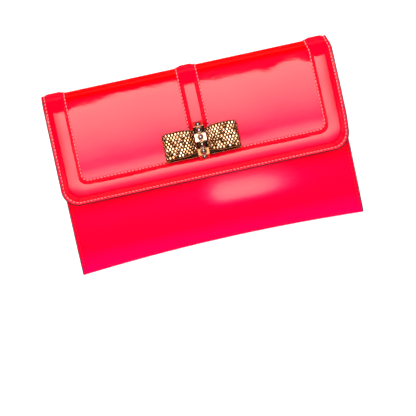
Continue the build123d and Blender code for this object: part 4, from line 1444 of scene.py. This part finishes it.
# overhead softbox: a bright, sharp upper edge that fades downwards
BOX_H = 1.0
BOX_TOP = 0.0434
X0, X1 = -0.25, 0.25
BOX_LEN = 0.16
stops = [
    (0.00, (0.0, 0.0, 0.0)),
    (0.25, (0.1, 0.0, 0.35)),
    (0.42, (0.7, 0.22, 1.0)),
    (0.525, (1.6, 0.75, 1.8)),
    (0.565, (2.0, 1.1, 2.2)),
    (0.625, (2.7, 2.0, 2.9)),
    (0.69, (3.3, 3.0, 3.5)),
    (0.76, (4.0, 3.75, 3.9)),
    (0.90, (5.2, 5.0, 4.7)),
    (1.00, (6.0, 5.9, 5.2)),
]
y0, y1 = BOX_TOP - BOX_LEN, BOX_TOP
glow_card("softbox", [(X0, y0, BOX_H), (X0, y1, BOX_H), (X1, y1, BOX_H), (X1, y0, BOX_H)], stops, "Y", y0, y1, (X0, X1, 0.10))

# low warm cards, seen only by steep metal
for name, c, along in (
    ("card_left", (-1.2, 0.0), (0, 1)),
    ("card_right", (1.2, 0.0), (0, -1)),
    ("card_far", (0.0, 1.2), (1, 0)),
    ("card_near", (0.0, -1.2), (-1, 0)),
):
    px, py = along[0] * 0.7, along[1] * 0.7
    zl, zh = 0.10, 0.55
    vs = [
        (c[0] - px, c[1] - py, zl), (c[0] - px, c[1] - py, zh), (c[0] + px, c[1] + py, zh), (c[0] + px, c[1] + py, zl),
    ]
    warm = {"card_near": (1.9, 1.45, 0.95), "card_left": (1.7, 0.85, 0.30), "card_far": (0.9, 0.5, 0.2)}.get(name, (0.35, 0.2, 0.1))
    only_on(glow_card(name, vs, [(0.0, tuple(0.3 * c_ for c_ in warm)), (0.5, warm), (1.0, tuple(0.25 * c_ for c_ in warm))], "Z", zl, zh), card_parts)
# a wide softbox that shows in the bow
mz = 1.04
vs = [(-0.42, -0.11, mz), (-0.42, 0.50, mz), (0.42, 0.50, mz), (0.42, -0.11, mz)]
only_metal(glow_card("metal_softbox", vs, [(0.0, (2.3, 2.35, 2.6)), (1.0, (2.6, 2.65, 2.9))], "Y", -0.11, 0.50, (-0.42, 0.42, 0.03)))
# pale cards around the set, seen at a slant
hot = [(0.0, 0.0), (0.10, 1.7), (0.45, 1.5), (0.62, 1.9), (0.70, 0.25), (1.0, 0.0)]
high = [(0.0, 0.0), (0.08, 1.6), (0.30, 1.3), (0.52, 1.8), (0.60, 0.5), (0.85, 0.3), (1.0, 0.0)]
for i, name in enumerate(("far", "far_left", "left", "near_left", "near", "near_right", "right", "far_right")):
    turn = math.radians(90 + 45 * i)
    cx, cy = 1.5 * math.cos(turn), 1.5 * math.sin(turn)
    px, py = 0.52 * math.sin(turn), -0.52 * math.cos(turn)
    for parts, k in ((wall_leather, 1.0 if i % 2 == 0 else 0.7), (padded_leather, 0.14)):
        up_high = name.startswith("far") and parts is wall_leather
        zl, zh = 0.25, (3.1 if up_high else 1.70)
        vs = [(cx - px, cy - py, zl), (cx - px, cy - py, zh), (cx + px, cy + py, zh), (cx + px, cy + py, zl)]
        steps = [(p_, (r_ * k, r_ * k, 1.04 * r_ * k)) for p_, r_ in (high if up_high else hot)]
        only_on(glow_card(f"gloss_{name}_{parts.name}", vs, steps, "Z", zl, zh), parts)
for name, y in (("sheen_far", 1.35), ("sheen_near", -1.35)):
    vs = [(-0.9, y, 0.72), (-0.9, y, 1.12), (0.9, y, 1.12), (0.9, y, 0.72)]
    if y < 0:
        vs = vs[::-1]
    only_metal(glow_card(name, vs, [(0.0, (0, 0, 0)), (0.2, (1.1, 1.0, 0.95)), (0.8, (1.3, 1.2, 1.15)), (1.0, (0, 0, 0))], "Z", 0.72, 1.12, (-0.9, 0.9, 0.3)))

ROLL = math.radians(12.3)
cam_data = bpy.data.cameras.new("camera")
cam = bpy.data.objects.new("camera", cam_data)
scene.collection.objects.link(cam)
DIST = 3.0
cam_data.sensor_width = 36.0
cam_data.lens = 36.0 * (DIST - 0.022) / 0.3962
cam_data.clip_start = 0.05
cam_data.clip_end = 20
cam.location = (-0.0074, -0.0510, DIST)
cam.rotation_euler = (0, 0, -ROLL)
scene.camera = cam
